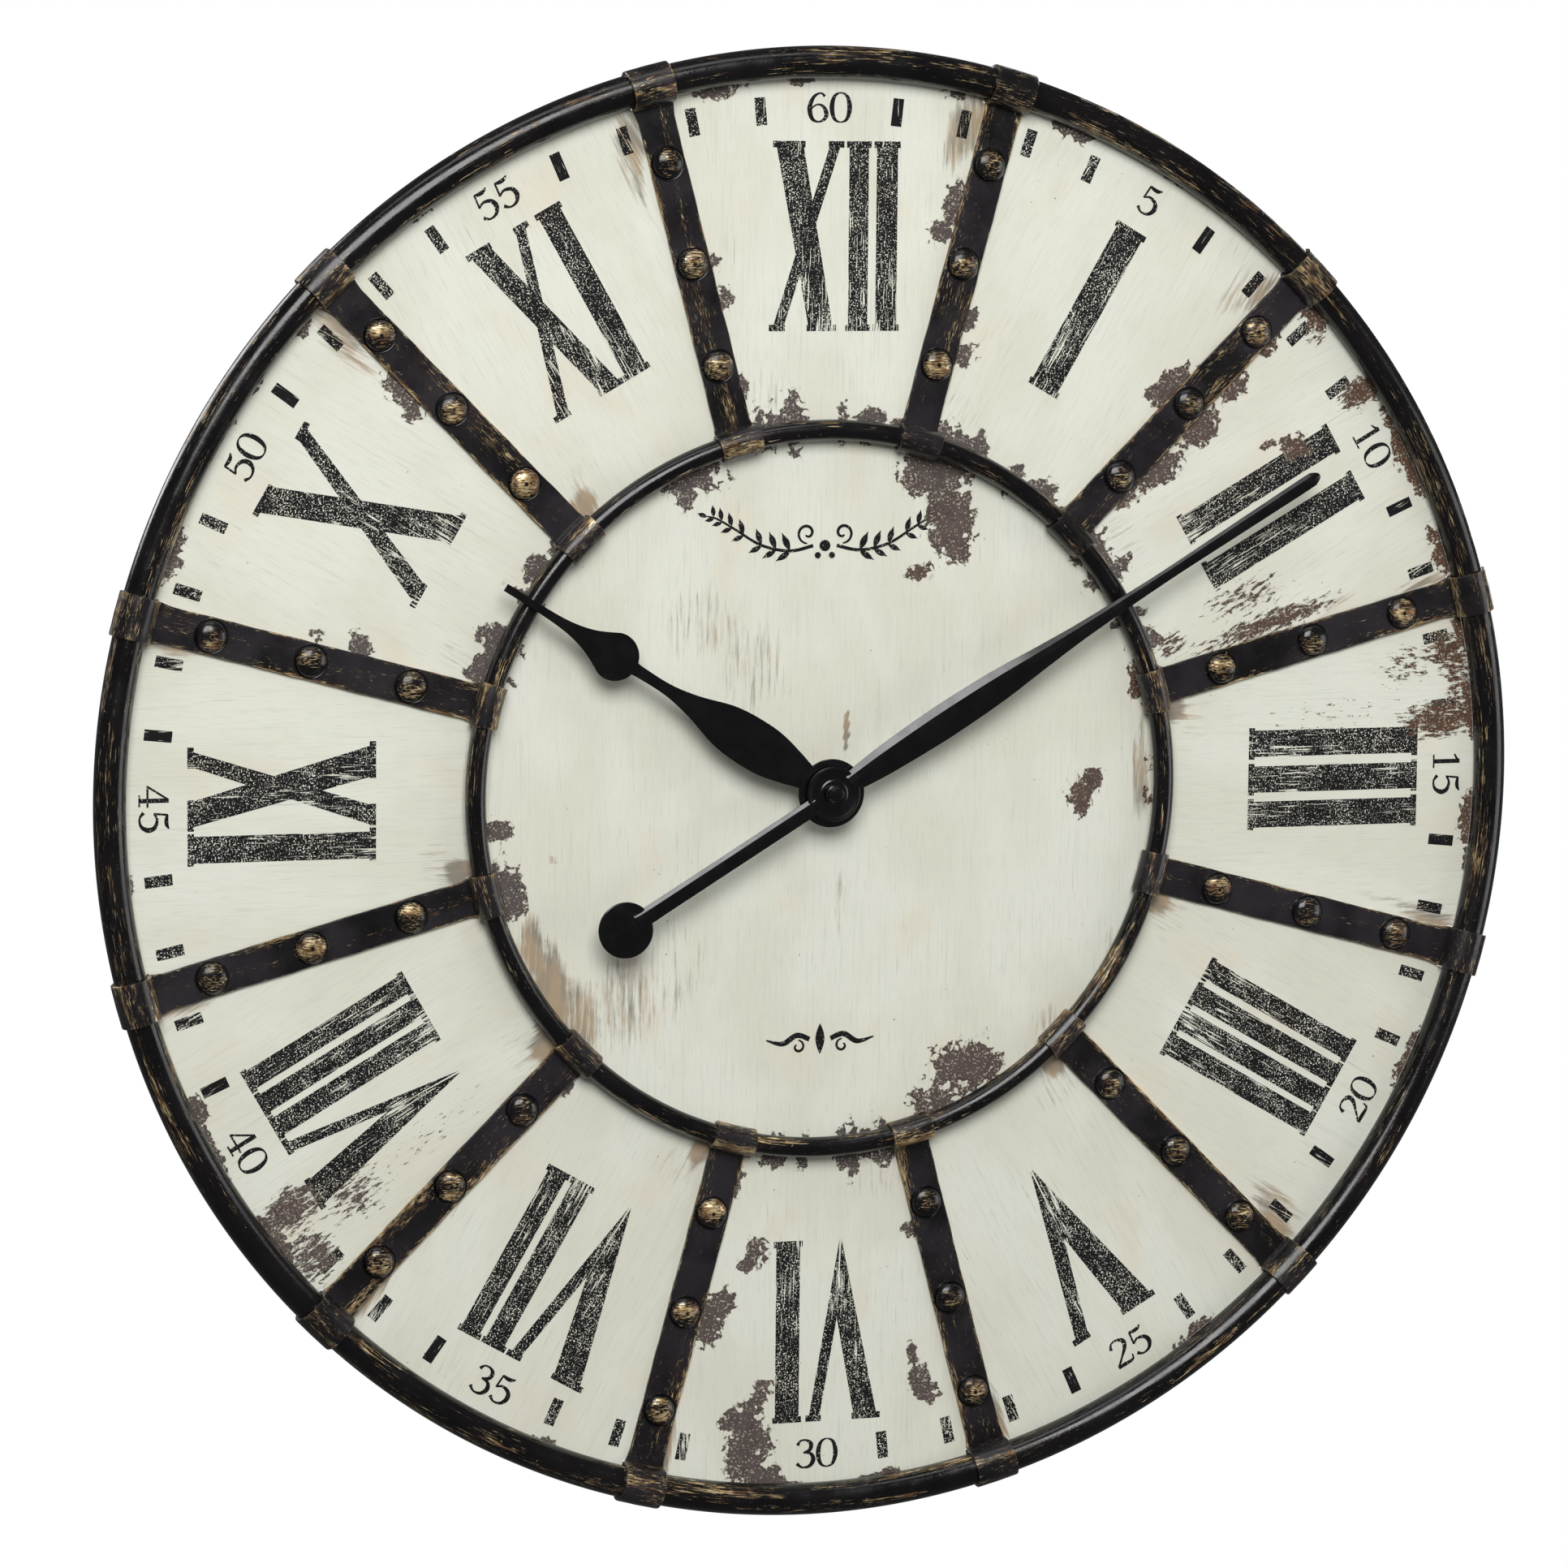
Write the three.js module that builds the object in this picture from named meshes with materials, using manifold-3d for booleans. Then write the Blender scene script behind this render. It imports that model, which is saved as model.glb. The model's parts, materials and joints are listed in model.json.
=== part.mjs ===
// Round wall clock: a board dial held in a steel tube ring by twelve riveted straps, with two hands
// driven by a battery quartz movement on its back. Millimetres, +Z up, the dial faces -Y.
// Pieces are placed round the hands' axis, with y = 0 on the dial's face and y growing towards the
// wall. The whole clock is then shifted so that the origin is the nail's seat on the wall plane.
import * as THREE from 'three';
import { mergeVertices } from 'three/addons/utils/BufferGeometryUtils.js';
import Module from 'manifold-3d';

const wasm = await Module();
wasm.setup();

// ---------------------------------------------------------------- driving dimensions
const GAP = 0.3; // kept between pieces that touch
const RING_OUTSIDE = 600; // diameter over the outer ring
const RING_TUBE = 13; // diameter of the outer ring's tube
const RING_FORWARD = 3; // the tube's centre line lies this far in front of the dial's face
const INNER_RING_RADIUS = 146.5; // to the rod's centre line
const INNER_ROD = 8.4;
const BOARD_THICKNESS = 5;
const WALL = 24; // from the dial's face to the wall

const STRAPS = 12;
const STRAP_WIDTH = 15;
const STRAP_THICKNESS = 1.5;
const STRAP_INNER_END = 155;
const STRAP_OUTER_END = 286;
const STRAP_ROOT = 151.5; // where the inner end starts to climb over the rod
const COLLAR_WIDTH = 17.5;
const COLLAR_THICKNESS = 1.2;
const RIVET_RADII = [178.3, 220.3, 261.7];
const RIVET_HEAD = 12.5;
const RIVET_RISE = 3.2;
const RIVET_SHANK = 4;
const RIVET_TAIL = 8.4;
const RIVET_TAIL_DEPTH = 1.3;
const RIVET_PLAY = 0.2; // added to the gap round a rivet's shank

const MINUTE_ANGLE = 59; // degrees clockwise from twelve, at rest
const HOUR_ANGLE = 302.8;
const HOUR_HAND_FRONT = 12.2; // heights in front of the dial
const HOUR_HAND_THICKNESS = 1;
const MINUTE_HAND_BACK = 14.2;
const MINUTE_HAND_LENGTH = 244.5;
const HOUR_HAND_LENGTH = 161;

const CASE = 56; // the movement's square
const CASE_WALL = 1.2;
const CASE_FRONT = BOARD_THICKNESS + 1.3;
const CASE_FLOOR = CASE_FRONT + CASE_WALL;
const COVER_FRONT = 21.1;
const CASE_REAR = 22.6;
const BAY_TOP = -10.7; // the battery bay lies below this height
const BUSH_RADIUS = 4;
const BUSH_END = -3.8;
const BUSH_BORE = 2.9;
const BUSH_SIDES = 16;
const BATTERY_RADIUS = 7.25;
const BATTERY_LENGTH = 49.5;

const HANGER_HEIGHT = 205; // hanger's centre above the hands' axis
const NAIL_SEAT = 209; // top of the keyhole's slot above the hands' axis
const BUMPER = { x: 165, z: -195, radius: 10, taper: 1, bore: 5, hole: 2, seat: 12 };

// ---------------------------------------------------------------- materials
function finish(color, roughness, metalness = 0) {
  return new THREE.MeshStandardMaterial({ color, roughness, metalness });
}

const BLACK_STEEL = finish(0x17140f, 0.35, 0.6);
const STRAP_STEEL = finish(0x1d1a16, 0.5, 0.6);
const HAND_BLACK = finish(0x0c0b0c, 0.25, 0.3);
const CREAM_BOARD = finish(0xe4e5d7, 0.7);
const BLACK_PLASTIC = finish(0x202022, 0.55);
const WHITE_PLASTIC = finish(0xe8e6df, 0.5);
const ZINC = finish(0xa8abaf, 0.35, 0.9);
const BRASS = finish(0xb9924c, 0.3, 0.9);
const RUBBER = finish(0x161616, 0.9);
const COPPER = finish(0xa2552c, 0.35, 0.8);
const BOARD_GREEN = finish(0x2c6b3a, 0.5);
const BATTERY_SLEEVE = finish(0x3a3d42, 0.35, 0.4);

// ---------------------------------------------------------------- solids
// One closed body from any closed geometry: shared corners merged, faces turned outwards.
function closed(geometry) {
  const bare = new THREE.BufferGeometry();
  const flat = geometry.index ? geometry.toNonIndexed() : geometry;
  bare.setAttribute('position', flat.getAttribute('position').clone());
  const merged = mergeVertices(bare, 1e-4);
  const position = merged.getAttribute('position');
  const corners = Array.from(merged.index.array);
  const triangles = [];
  let volume = 0;
  const [a, b, c] = [new THREE.Vector3(), new THREE.Vector3(), new THREE.Vector3()];
  for (let i = 0; i < corners.length; i += 3) {
    const [p, q, r] = corners.slice(i, i + 3);
    if (p === q || q === r || r === p) continue;
    triangles.push(p, q, r);
    a.fromBufferAttribute(position, p);
    b.fromBufferAttribute(position, q);
    c.fromBufferAttribute(position, r);
    volume += a.dot(b.cross(c));
  }
  if (volume < 0) triangles.reverse();
  merged.setIndex(triangles);
  return merged;
}

function solid(geometry) {
  const body = closed(geometry);
  return new wasm.Manifold(
    new wasm.Mesh({
      numProp: 3,
      vertProperties: new Float32Array(body.getAttribute('position').array),
      triVerts: new Uint32Array(body.index.array),
    }),
  );
}

function geometryOf(manifold) {
  const mesh = manifold.getMesh();
  const geometry = new THREE.BufferGeometry();
  geometry.setAttribute('position', new THREE.BufferAttribute(mesh.vertProperties, 3));
  geometry.setIndex(new THREE.BufferAttribute(mesh.triVerts, 1));
  return geometry;
}

function join(...geometries) {
  return geometryOf(geometries.map(solid).reduce((whole, piece) => whole.add(piece)));
}

function cut(geometry, ...tools) {
  return geometryOf(tools.map(solid).reduce((rest, tool) => rest.subtract(tool), solid(geometry)));
}

// A turned piece: pairs of radius and y, round the axis through (x, z). A profile that leaves the
// axis ends on it, and any other closes on itself.
function turned(profile, segments, x = 0, z = 0) {
  const points = profile.map(([radius, y]) => new THREE.Vector2(radius, y));
  const onAxis = profile[0][0] === 0;
  if (!onAxis) points.push(points[0].clone());
  return new THREE.LatheGeometry(points, segments).translate(x, 0, z);
}

function rod(radius, from, to, segments, x = 0, z = 0) {
  return turned([[0, from], [radius, from], [radius, to], [0, to]], segments, x, z);
}

function tube(bore, radius, from, to, segments, x = 0, z = 0) {
  return turned([[bore, from], [radius, from], [radius, to], [bore, to]], segments, x, z);
}

function block(x0, x1, y0, y1, z0, z1) {
  const box = new THREE.BoxGeometry(x1 - x0, y1 - y0, z1 - z0);
  return box.translate((x0 + x1) / 2, (y0 + y1) / 2, (z0 + z1) / 2);
}

// An outline in the dial's plane, x across and z up, as thick as y0 to y1.
function slab(shape, y0, y1, curveSegments = 6) {
  const options = { depth: y1 - y0, bevelEnabled: false, curveSegments };
  const plate = new THREE.ExtrudeGeometry(shape, options);
  return plate.rotateX(Math.PI / 2).translate(0, y1, 0);
}

// An outline in the plane of radius and height in front of the dial, as wide as width across x.
function crosswise(shape, width, curveSegments = 8) {
  const options = { depth: width, bevelEnabled: false, curveSegments };
  const turn = new THREE.Matrix4().makeBasis(
    new THREE.Vector3(0, 0, 1),
    new THREE.Vector3(0, -1, 0),
    new THREE.Vector3(1, 0, 0),
  );
  const piece = new THREE.ExtrudeGeometry(shape, options).applyMatrix4(turn);
  return piece.translate(-width / 2, 0, 0);
}

function outline(points) {
  return new THREE.Shape(points.map(([x, y]) => new THREE.Vector2(x, y)));
}

// A solid through a row of sections, each a ring of the same number of points.
function lofted(sections) {
  const sides = sections[0].length;
  const vertices = sections.flat(2);
  const triangles = [];
  for (let row = 0; row < sections.length - 1; row += 1) {
    for (let side = 0; side < sides; side += 1) {
      const next = (side + 1) % sides;
      const [p, q] = [row * sides + side, row * sides + next];
      triangles.push(p, p + sides, q, q, p + sides, q + sides);
    }
  }
  const last = (sections.length - 1) * sides;
  for (let side = 1; side < sides - 1; side += 1) {
    triangles.push(0, side, side + 1);
    triangles.push(last, last + side + 1, last + side);
  }
  const geometry = new THREE.BufferGeometry();
  geometry.setAttribute('position', new THREE.Float32BufferAttribute(vertices, 3));
  geometry.setIndex(triangles);
  return geometry;
}

const clock = new THREE.Group();

function piece(name, geometry, material, parent = clock) {
  const mesh = new THREE.Mesh(closed(geometry), material);
  mesh.name = name;
  parent.add(mesh);
  return mesh;
}

// ---------------------------------------------------------------- rings and board
// Facets meet half a step off twelve o'clock, so each strap sits on the middle of a facet.
function ring(lineRadius, tubeRadius, forward, segments, sides) {
  const points = [];
  for (let side = 0; side <= sides; side += 1) {
    const angle = ((side % sides) / sides) * 2 * Math.PI;
    const radius = lineRadius + tubeRadius * Math.cos(angle);
    points.push(new THREE.Vector2(radius, -forward + tubeRadius * Math.sin(angle)));
  }
  return new THREE.LatheGeometry(points, segments, Math.PI / segments);
}

const RING_SEGMENTS = 72;
const RING_SIDES = 8;
const INNER_RING_SEGMENTS = 48;
const ringTubeRadius = RING_TUBE / 2;
const ringLine = RING_OUTSIDE / 2 - ringTubeRadius;
const innerRodRadius = INNER_ROD / 2;
const RING_BORE = { radius: 4.7, sides: 5 }; // a pentagon that leaves at least the wall all round
const DRAIN_RADIUS = 1.5;
const HOLE_SIDES = 6;
const innerRingForward = innerRodRadius + GAP;
// Centre lines at the middle of a facet, where the straps grip the rings.
const ringGrip = ringLine * Math.cos(Math.PI / RING_SEGMENTS);
const innerGrip = INNER_RING_RADIUS * Math.cos(Math.PI / INNER_RING_SEGMENTS);

function outerRing() {
  const whole = ring(ringLine, ringTubeRadius, RING_FORWARD, RING_SEGMENTS, RING_SIDES);
  const bore = ring(ringLine, RING_BORE.radius, RING_FORWARD, RING_SEGMENTS, RING_BORE.sides);
  const drainHole = rod(DRAIN_RADIUS, -RING_FORWARD, ringTubeRadius, HOLE_SIDES, 0, -ringLine);
  return cut(whole, bore, drainHole);
}

// The board stops just short of the tube, where the tube comes closest at the board's own height.
const boardRadius = ringLine - Math.sqrt(ringTubeRadius ** 2 - RING_FORWARD ** 2) - GAP;
const BOARD_NOTCH = 284.6; // the rim is notched from here out, where a collar goes round the tube
const BOARD_SCREW_DEPTH = 1.2; // screws stop this far behind the dial's face
const HANGER_SCREW_X = 39;
const PILOT_RADIUS = 2;
const BEYOND = 1; // a cutting tool runs this far past what it cuts

function aroundStraps(make) {
  const made = [];
  for (let strap = 0; strap < STRAPS; strap += 1) {
    const angle = ((strap + 0.5) / STRAPS) * 2 * Math.PI;
    for (const radius of RIVET_RADII) {
      made.push(make(radius * Math.sin(angle), radius * Math.cos(angle)));
    }
  }
  return made;
}

function dialBoard() {
  const profile = [[0, 0], [boardRadius, 0], [boardRadius, BOARD_THICKNESS], [0, BOARD_THICKNESS]];
  const points = profile.map(([radius, y]) => new THREE.Vector2(radius, y));
  const disc = new THREE.LatheGeometry(points, RING_SEGMENTS, Math.PI / RING_SEGMENTS);
  const behind = BOARD_THICKNESS + BEYOND;
  const rivetHole = RIVET_SHANK / 2 + GAP + RIVET_PLAY;
  const pilot = (x, z) => rod(PILOT_RADIUS, BOARD_SCREW_DEPTH - GAP, behind, HOLE_SIDES, x, z);
  const holes = aroundStraps((x, z) => rod(rivetHole, -BEYOND, behind, HOLE_SIDES, x, z));
  const notchHalf = COLLAR_WIDTH / 2 + GAP;
  const rim = [BOARD_NOTCH, ringLine];
  for (let strap = 0; strap < STRAPS; strap += 1) {
    const notch = block(-notchHalf, notchHalf, -BEYOND, behind, ...rim);
    holes.push(notch.rotateY(((strap + 0.5) / STRAPS) * 2 * Math.PI));
  }
  holes.push(rod(BUSH_RADIUS + GAP, -BEYOND, behind, BUSH_SIDES));
  for (const side of [-1, 1]) {
    holes.push(pilot(side * HANGER_SCREW_X, HANGER_HEIGHT));
    holes.push(pilot(side * BUMPER.x, BUMPER.z));
  }
  return cut(disc, ...holes);
}

piece('outer_ring', outerRing(), BLACK_STEEL);
piece(
  'inner_ring',
  ring(INNER_RING_RADIUS, innerRodRadius, innerRingForward, INNER_RING_SEGMENTS, RING_SIDES),
  BLACK_STEEL,
);
piece('dial_board', dialBoard(), CREAM_BOARD);

// ---------------------------------------------------------------- straps with their rivets
const RIVET_SHOULDER = { reach: 0.6, drop: 0.22 }; // shares of the head's radius and rise
const RIVET_SIDES = 6;
const COLLAR_SIDES = 10;
const SADDLE_STEPS = 5;
const SADDLE_PLAY = 1.5; // the saddle clears the rod by this many gaps

// A domed rivet through strap and board, set over behind the board.
function rivet(radius) {
  const seat = -STRAP_THICKNESS;
  const crown = -(GAP + STRAP_THICKNESS + RIVET_RISE);
  const behind = BOARD_THICKNESS + GAP;
  const head = RIVET_HEAD / 2;
  const profile = [
    [0, crown],
    [head * RIVET_SHOULDER.reach, crown + RIVET_RISE * RIVET_SHOULDER.drop],
    [head, seat],
    [RIVET_SHANK / 2, seat],
    [RIVET_SHANK / 2, behind],
    [RIVET_TAIL / 2, behind],
    [0, behind + RIVET_TAIL_DEPTH],
  ];
  return turned(profile, RIVET_SIDES, 0, radius);
}

// The strap's outer end is rolled right round the tube.
function outerCollar() {
  const bore = (ringTubeRadius + GAP) / Math.cos(Math.PI / COLLAR_SIDES);
  const half = COLLAR_WIDTH / 2;
  const wrap = tube(bore, bore + COLLAR_THICKNESS, -half, half, COLLAR_SIDES);
  wrap.rotateZ(Math.PI / 2);
  return wrap.translate(0, -RING_FORWARD, ringGrip);
}

// The strap's inner end arches over the rod and ends in a foot on the dial.
function innerCollar() {
  const bore = innerRodRadius + GAP * SADDLE_PLAY;
  const over = bore + COLLAR_THICKNESS;
  const saddle = new THREE.Shape();
  saddle.moveTo(innerGrip - over, GAP);
  saddle.lineTo(innerGrip - over, innerRingForward);
  saddle.absarc(innerGrip, innerRingForward, over, Math.PI, 0, true);
  saddle.lineTo(innerGrip + over, GAP);
  saddle.lineTo(innerGrip + bore, GAP);
  saddle.lineTo(innerGrip + bore, innerRingForward);
  saddle.absarc(innerGrip, innerRingForward, bore, 0, Math.PI, false);
  saddle.lineTo(innerGrip - bore, GAP);
  return crosswise(saddle, COLLAR_WIDTH, SADDLE_STEPS);
}

// The flat bar, with a rise that meets the collar at the rim and a hump that meets the saddle.
function strap() {
  const front = GAP + STRAP_THICKNESS;
  const half = STRAP_WIDTH / 2;
  const bar = block(-half, half, -front, -GAP, STRAP_ROOT, STRAP_OUTER_END - 4);
  const rise = crosswise(
    outline([
      [STRAP_OUTER_END - 6, GAP],
      [STRAP_OUTER_END - 1.5, GAP],
      [ringLine - 7.2, RING_FORWARD],
      [ringLine - 6, RING_FORWARD + 4.6],
      [STRAP_OUTER_END - 6, front],
    ]),
    STRAP_WIDTH,
  );
  const hump = crosswise(
    outline([
      [STRAP_ROOT, GAP],
      [STRAP_INNER_END + 3, front],
      [STRAP_ROOT + 0.2, innerRingForward + STRAP_THICKNESS],
    ]),
    STRAP_WIDTH,
  );
  return join(bar, rise, hump, innerCollar(), outerCollar(), ...RIVET_RADII.map(rivet));
}

const strapGeometry = strap();
for (let number = 1; number <= STRAPS; number += 1) {
  const mesh = piece(`strap_${String(number).padStart(2, '0')}`, strapGeometry, STRAP_STEEL);
  mesh.rotation.y = ((number - 0.5) / STRAPS) * 2 * Math.PI;
}

// ---------------------------------------------------------------- hanger and wall bumpers
const HANGER = { half: 30, tab: 18, height: 28, sheet: 1.5, bore: 5, slot: 2.4, drop: 10 };
const SCREW_SIDES = 8;
const SCREW = { shank: 1.5, headDepth: 2.2, hangerHead: 4, bumperHead: 3.8, crown: 0.9 };

function screw(headFront, headRadius, x, z) {
  const headRear = headFront + SCREW.headDepth;
  const profile = [
    [0, BOARD_SCREW_DEPTH],
    [SCREW.shank, BOARD_SCREW_DEPTH + 1],
    [SCREW.shank, headFront],
    [headRadius, headFront],
    [headRadius * SCREW.crown, headRear],
    [0, headRear],
  ];
  return turned(profile, SCREW_SIDES, x, z);
}

function hangerBracket() {
  const { half, tab, height, sheet, bore, slot, drop } = HANGER;
  const back = BOARD_THICKNESS + GAP;
  const [low, high] = [HANGER_HEIGHT - height / 2, HANGER_HEIGHT + height / 2];
  const bridge = block(-half, half, WALL - sheet, WALL, low, high);
  const legs = [-1, 1].map((side) => {
    const [from, to] = side < 0 ? [-half, -half + sheet] : [half - sheet, half];
    return block(from, to, back, WALL - sheet / 2, low, high);
  });
  const tabs = [-1, 1].map((side) => {
    const [from, to] = side < 0 ? [-half - tab, -half + sheet / 2] : [half - sheet / 2, half + tab];
    return block(from, to, back, back + sheet, low, high);
  });
  const [before, beyond] = [WALL - 5, WALL + 5];
  const keyhole = rod(bore, before, beyond, 12, 0, NAIL_SEAT - drop);
  const slotCut = block(-slot, slot, before, beyond, NAIL_SEAT - drop, NAIL_SEAT);
  const screwHoles = [-1, 1].map((side) => {
    const [from, to] = [back - BEYOND, back + sheet + BEYOND];
    return rod(PILOT_RADIUS, from, to, SCREW_SIDES, side * HANGER_SCREW_X, HANGER_HEIGHT);
  });
  return cut(join(bridge, ...legs, ...tabs), keyhole, slotCut, ...screwHoles);
}

function bumper(side) {
  const { x, z, radius, taper, bore, hole, seat } = BUMPER;
  const front = BOARD_THICKNESS + GAP;
  const profile = [
    [hole, front], [radius, front], [radius - taper, WALL], [bore, WALL], [bore, seat], [hole, seat],
  ];
  return turned(profile, 12, side * x, z);
}

piece('hanger_bracket', hangerBracket(), ZINC);
for (const [side, word] of [[-1, 'left'], [1, 'right']]) {
  const tabRear = BOARD_THICKNESS + GAP + HANGER.sheet + GAP;
  piece(
    `hanger_screw_${word}`,
    screw(tabRear, SCREW.hangerHead, side * HANGER_SCREW_X, HANGER_HEIGHT),
    ZINC,
  );
  piece(`wall_bumper_${word}`, bumper(side), RUBBER);
  piece(
    `bumper_screw_${word}`,
    screw(BUMPER.seat + GAP, SCREW.bumperHead, side * BUMPER.x, BUMPER.z),
    ZINC,
  );
}

// ---------------------------------------------------------------- movement case
function movementFrontCase() {
  const half = CASE / 2;
  const inside = half - CASE_WALL;
  const body = block(-half, half, CASE_FRONT, COVER_FRONT - GAP, -half, half);
  const bayRim = block(-half, half, COVER_FRONT - 1, CASE_REAR, -half, BAY_TOP);
  const bush = rod(BUSH_RADIUS, BUSH_END, CASE_FRONT + 1, BUSH_SIDES);
  const trainRoom = block(-inside, inside, CASE_FLOOR, WALL, BAY_TOP + GAP, inside);
  const bayRoom = block(-inside, inside, CASE_FLOOR, WALL, -inside, BAY_TOP - CASE_WALL);
  const bushBore = rod(BUSH_BORE, BUSH_END - BEYOND, CASE_FLOOR + BEYOND, BUSH_SIDES);
  return cut(join(body, bayRim, bush), trainRoom, bayRoom, bushBore);
}

const SET_KNOB_RADIUS = 4.7;
const COVER_LIP = { inside: 25.2, outside: 26.4, depth: 2.5, top: 20 };

function movementRearCover(knob) {
  const half = CASE / 2;
  const plate = block(-half, half, COVER_FRONT, CASE_REAR, BAY_TOP + GAP, half);
  const lip = [-1, 1].map((side) => {
    const { inside, outside, depth, top } = COVER_LIP;
    const [from, to] = side < 0 ? [-outside, -inside] : [inside, outside];
    return block(from, to, COVER_FRONT - depth, COVER_FRONT + 0.5, 0, top);
  });
  const [before, beyond] = [COVER_FRONT - BEYOND, CASE_REAR + BEYOND];
  const knobHole = rod(SET_KNOB_RADIUS + 0.5, before, beyond, 16, knob.x, knob.z);
  return cut(join(plate, ...lip), knobHole);
}

function caseGasket() {
  const half = CASE / 2 - 1;
  const sheet = block(-half, half, BOARD_THICKNESS + GAP, CASE_FRONT - GAP, -half, half);
  return cut(sheet, rod(BUSH_RADIUS + GAP, 0, CASE_FRONT + BEYOND, BUSH_SIDES));
}

const WASHER = { radius: 8, front: -0.8 };
const NUT = { acrossFlats: 11, front: -3.1, back: -1.1 };

function bushingNut() {
  const hexagon = new THREE.Shape();
  const corner = NUT.acrossFlats / Math.sqrt(3);
  for (let side = 0; side < 6; side += 1) {
    const angle = (side / 6) * 2 * Math.PI;
    const [x, z] = [corner * Math.cos(angle), corner * Math.sin(angle)];
    if (side === 0) hexagon.moveTo(x, z);
    else hexagon.lineTo(x, z);
  }
  const thread = rod(BUSH_RADIUS + GAP, NUT.front - BEYOND, NUT.back + BEYOND, BUSH_SIDES);
  return cut(slab(hexagon, NUT.front, NUT.back), thread);
}

// ---------------------------------------------------------------- wheels
const toothPitch = (module) => Math.PI * module;
const toothHeight = (module) => 0.6 * toothPitch(module);
const ADDENDUM = 0.25; // share of a tooth's height outside the pitch circle

// A wheel with pointed teeth. One tooth points along phase, an angle from +x towards +z. Two wheels
// in mesh overlap by half a tooth's height, which leaves half a pitch of play.
function gear(teeth, module, y0, y1, phase, bore = 0, x = 0, z = 0) {
  const pitchRadius = (teeth * module) / 2;
  const tip = pitchRadius + toothHeight(module) * ADDENDUM;
  const root = pitchRadius - toothHeight(module) * (1 - ADDENDUM);
  const shape = new THREE.Shape();
  for (let step = 0; step < 2 * teeth; step += 1) {
    const radius = step % 2 === 0 ? tip : root;
    const angle = phase + (step * Math.PI) / teeth;
    const [px, pz] = [radius * Math.cos(angle), radius * Math.sin(angle)];
    if (step === 0) shape.moveTo(px, pz);
    else shape.lineTo(px, pz);
  }
  const disc = slab(shape, y0, y1);
  const wheel = bore > 0 ? cut(disc, rod(bore, y0 - BEYOND, y1 + BEYOND, 10)) : disc;
  return wheel.translate(x, 0, z);
}

// The phase that sets a wheel's space on the tooth of the wheel that it meshes with.
function meshPhase(otherPhase, otherTeeth, teeth, direction) {
  const offset = direction - otherPhase;
  return direction + Math.PI + Math.PI / teeth + (offset * otherTeeth) / teeth;
}

function along(start, distance, direction) {
  const x = start.x + distance * Math.cos(direction);
  const z = start.z + distance * Math.sin(direction);
  return { x, z };
}

const degrees = (angle) => (angle * Math.PI) / 180;

// Tooth counts. The hour wheel turns once for twelve turns of the minute arbor, and the rotor turns
// thirty times a minute.
const TEETH = {
  cannon: 12, motion: 36, motionPinion: 10, hour: 40, setPinion: 12,
  centre: 45, thirdPinion: 6, third: 48, secondsPinion: 6,
  seconds: 40, betweenPinion: 8, between: 36, rotorPinion: 6,
};
const DIRECTION = {
  motion: degrees(20), set: degrees(20), third: degrees(120),
  between: degrees(60), rotor: degrees(80),
};
const MOTION_MODULE = 0.3;
const CENTRE_MODULE = 1 / 3;
const SECONDS_MODULE = 0.3;
const motionDistance = ((TEETH.cannon + TEETH.motion) * MOTION_MODULE) / 2;
const hourModule = (2 * motionDistance) / (TEETH.motionPinion + TEETH.hour);
const thirdDistance = ((TEETH.centre + TEETH.thirdPinion) * CENTRE_MODULE) / 2;
const thirdModule = (2 * thirdDistance) / (TEETH.third + TEETH.secondsPinion);
const betweenDistance = ((TEETH.seconds + TEETH.betweenPinion) * SECONDS_MODULE) / 2;
const ROTOR_DISTANCE = 5.6;
const rotorModule = (2 * ROTOR_DISTANCE) / (TEETH.between + TEETH.rotorPinion);

const CENTRE = { x: 0, z: 0 };
const motionAxis = along(CENTRE, motionDistance, DIRECTION.motion);
const setDistance = ((TEETH.motion + TEETH.setPinion) * MOTION_MODULE) / 2;
const setAxis = along(motionAxis, setDistance, DIRECTION.set);
const thirdAxis = along(CENTRE, thirdDistance, DIRECTION.third);
const betweenAxis = along(CENTRE, betweenDistance, DIRECTION.between);
const rotorAxis = along(betweenAxis, ROTOR_DISTANCE, DIRECTION.rotor);

// Each pair of wheels in mesh lies in its own layer behind the case's floor.
const LAYER = { hour: 8, motion: 9.9, centre: 12.1, third: 14.3, seconds: 16, between: 17.8 };
const MINUTE_ARBOR_REAR = 13.4;
const ARBOR_FRONT = CASE_FLOOR + GAP;
const ARBOR_REAR = COVER_FRONT - GAP;
const ARBOR_SIDES = 6;

const motionPhase = meshPhase(0, TEETH.cannon, TEETH.motion, DIRECTION.motion);
const hourPhase = meshPhase(0, TEETH.motionPinion, TEETH.hour, DIRECTION.motion + Math.PI);
const setPhase = meshPhase(motionPhase, TEETH.motion, TEETH.setPinion, DIRECTION.set);
const thirdPinionPhase = meshPhase(0, TEETH.centre, TEETH.thirdPinion, DIRECTION.third);
const secondsPinionPhase = meshPhase(
  0, TEETH.third, TEETH.secondsPinion, DIRECTION.third + Math.PI,
);
const betweenPinionPhase = meshPhase(0, TEETH.seconds, TEETH.betweenPinion, DIRECTION.between);
const rotorPinionPhase = meshPhase(0, TEETH.between, TEETH.rotorPinion, DIRECTION.rotor);

// ---------------------------------------------------------------- hands
const HOUR_TUBE = { bore: 1.7, radius: 2.5 };
const MINUTE_ARBOR_RADIUS = 1.3;
const MINUTE_BORE = MINUTE_ARBOR_RADIUS + GAP;

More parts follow.
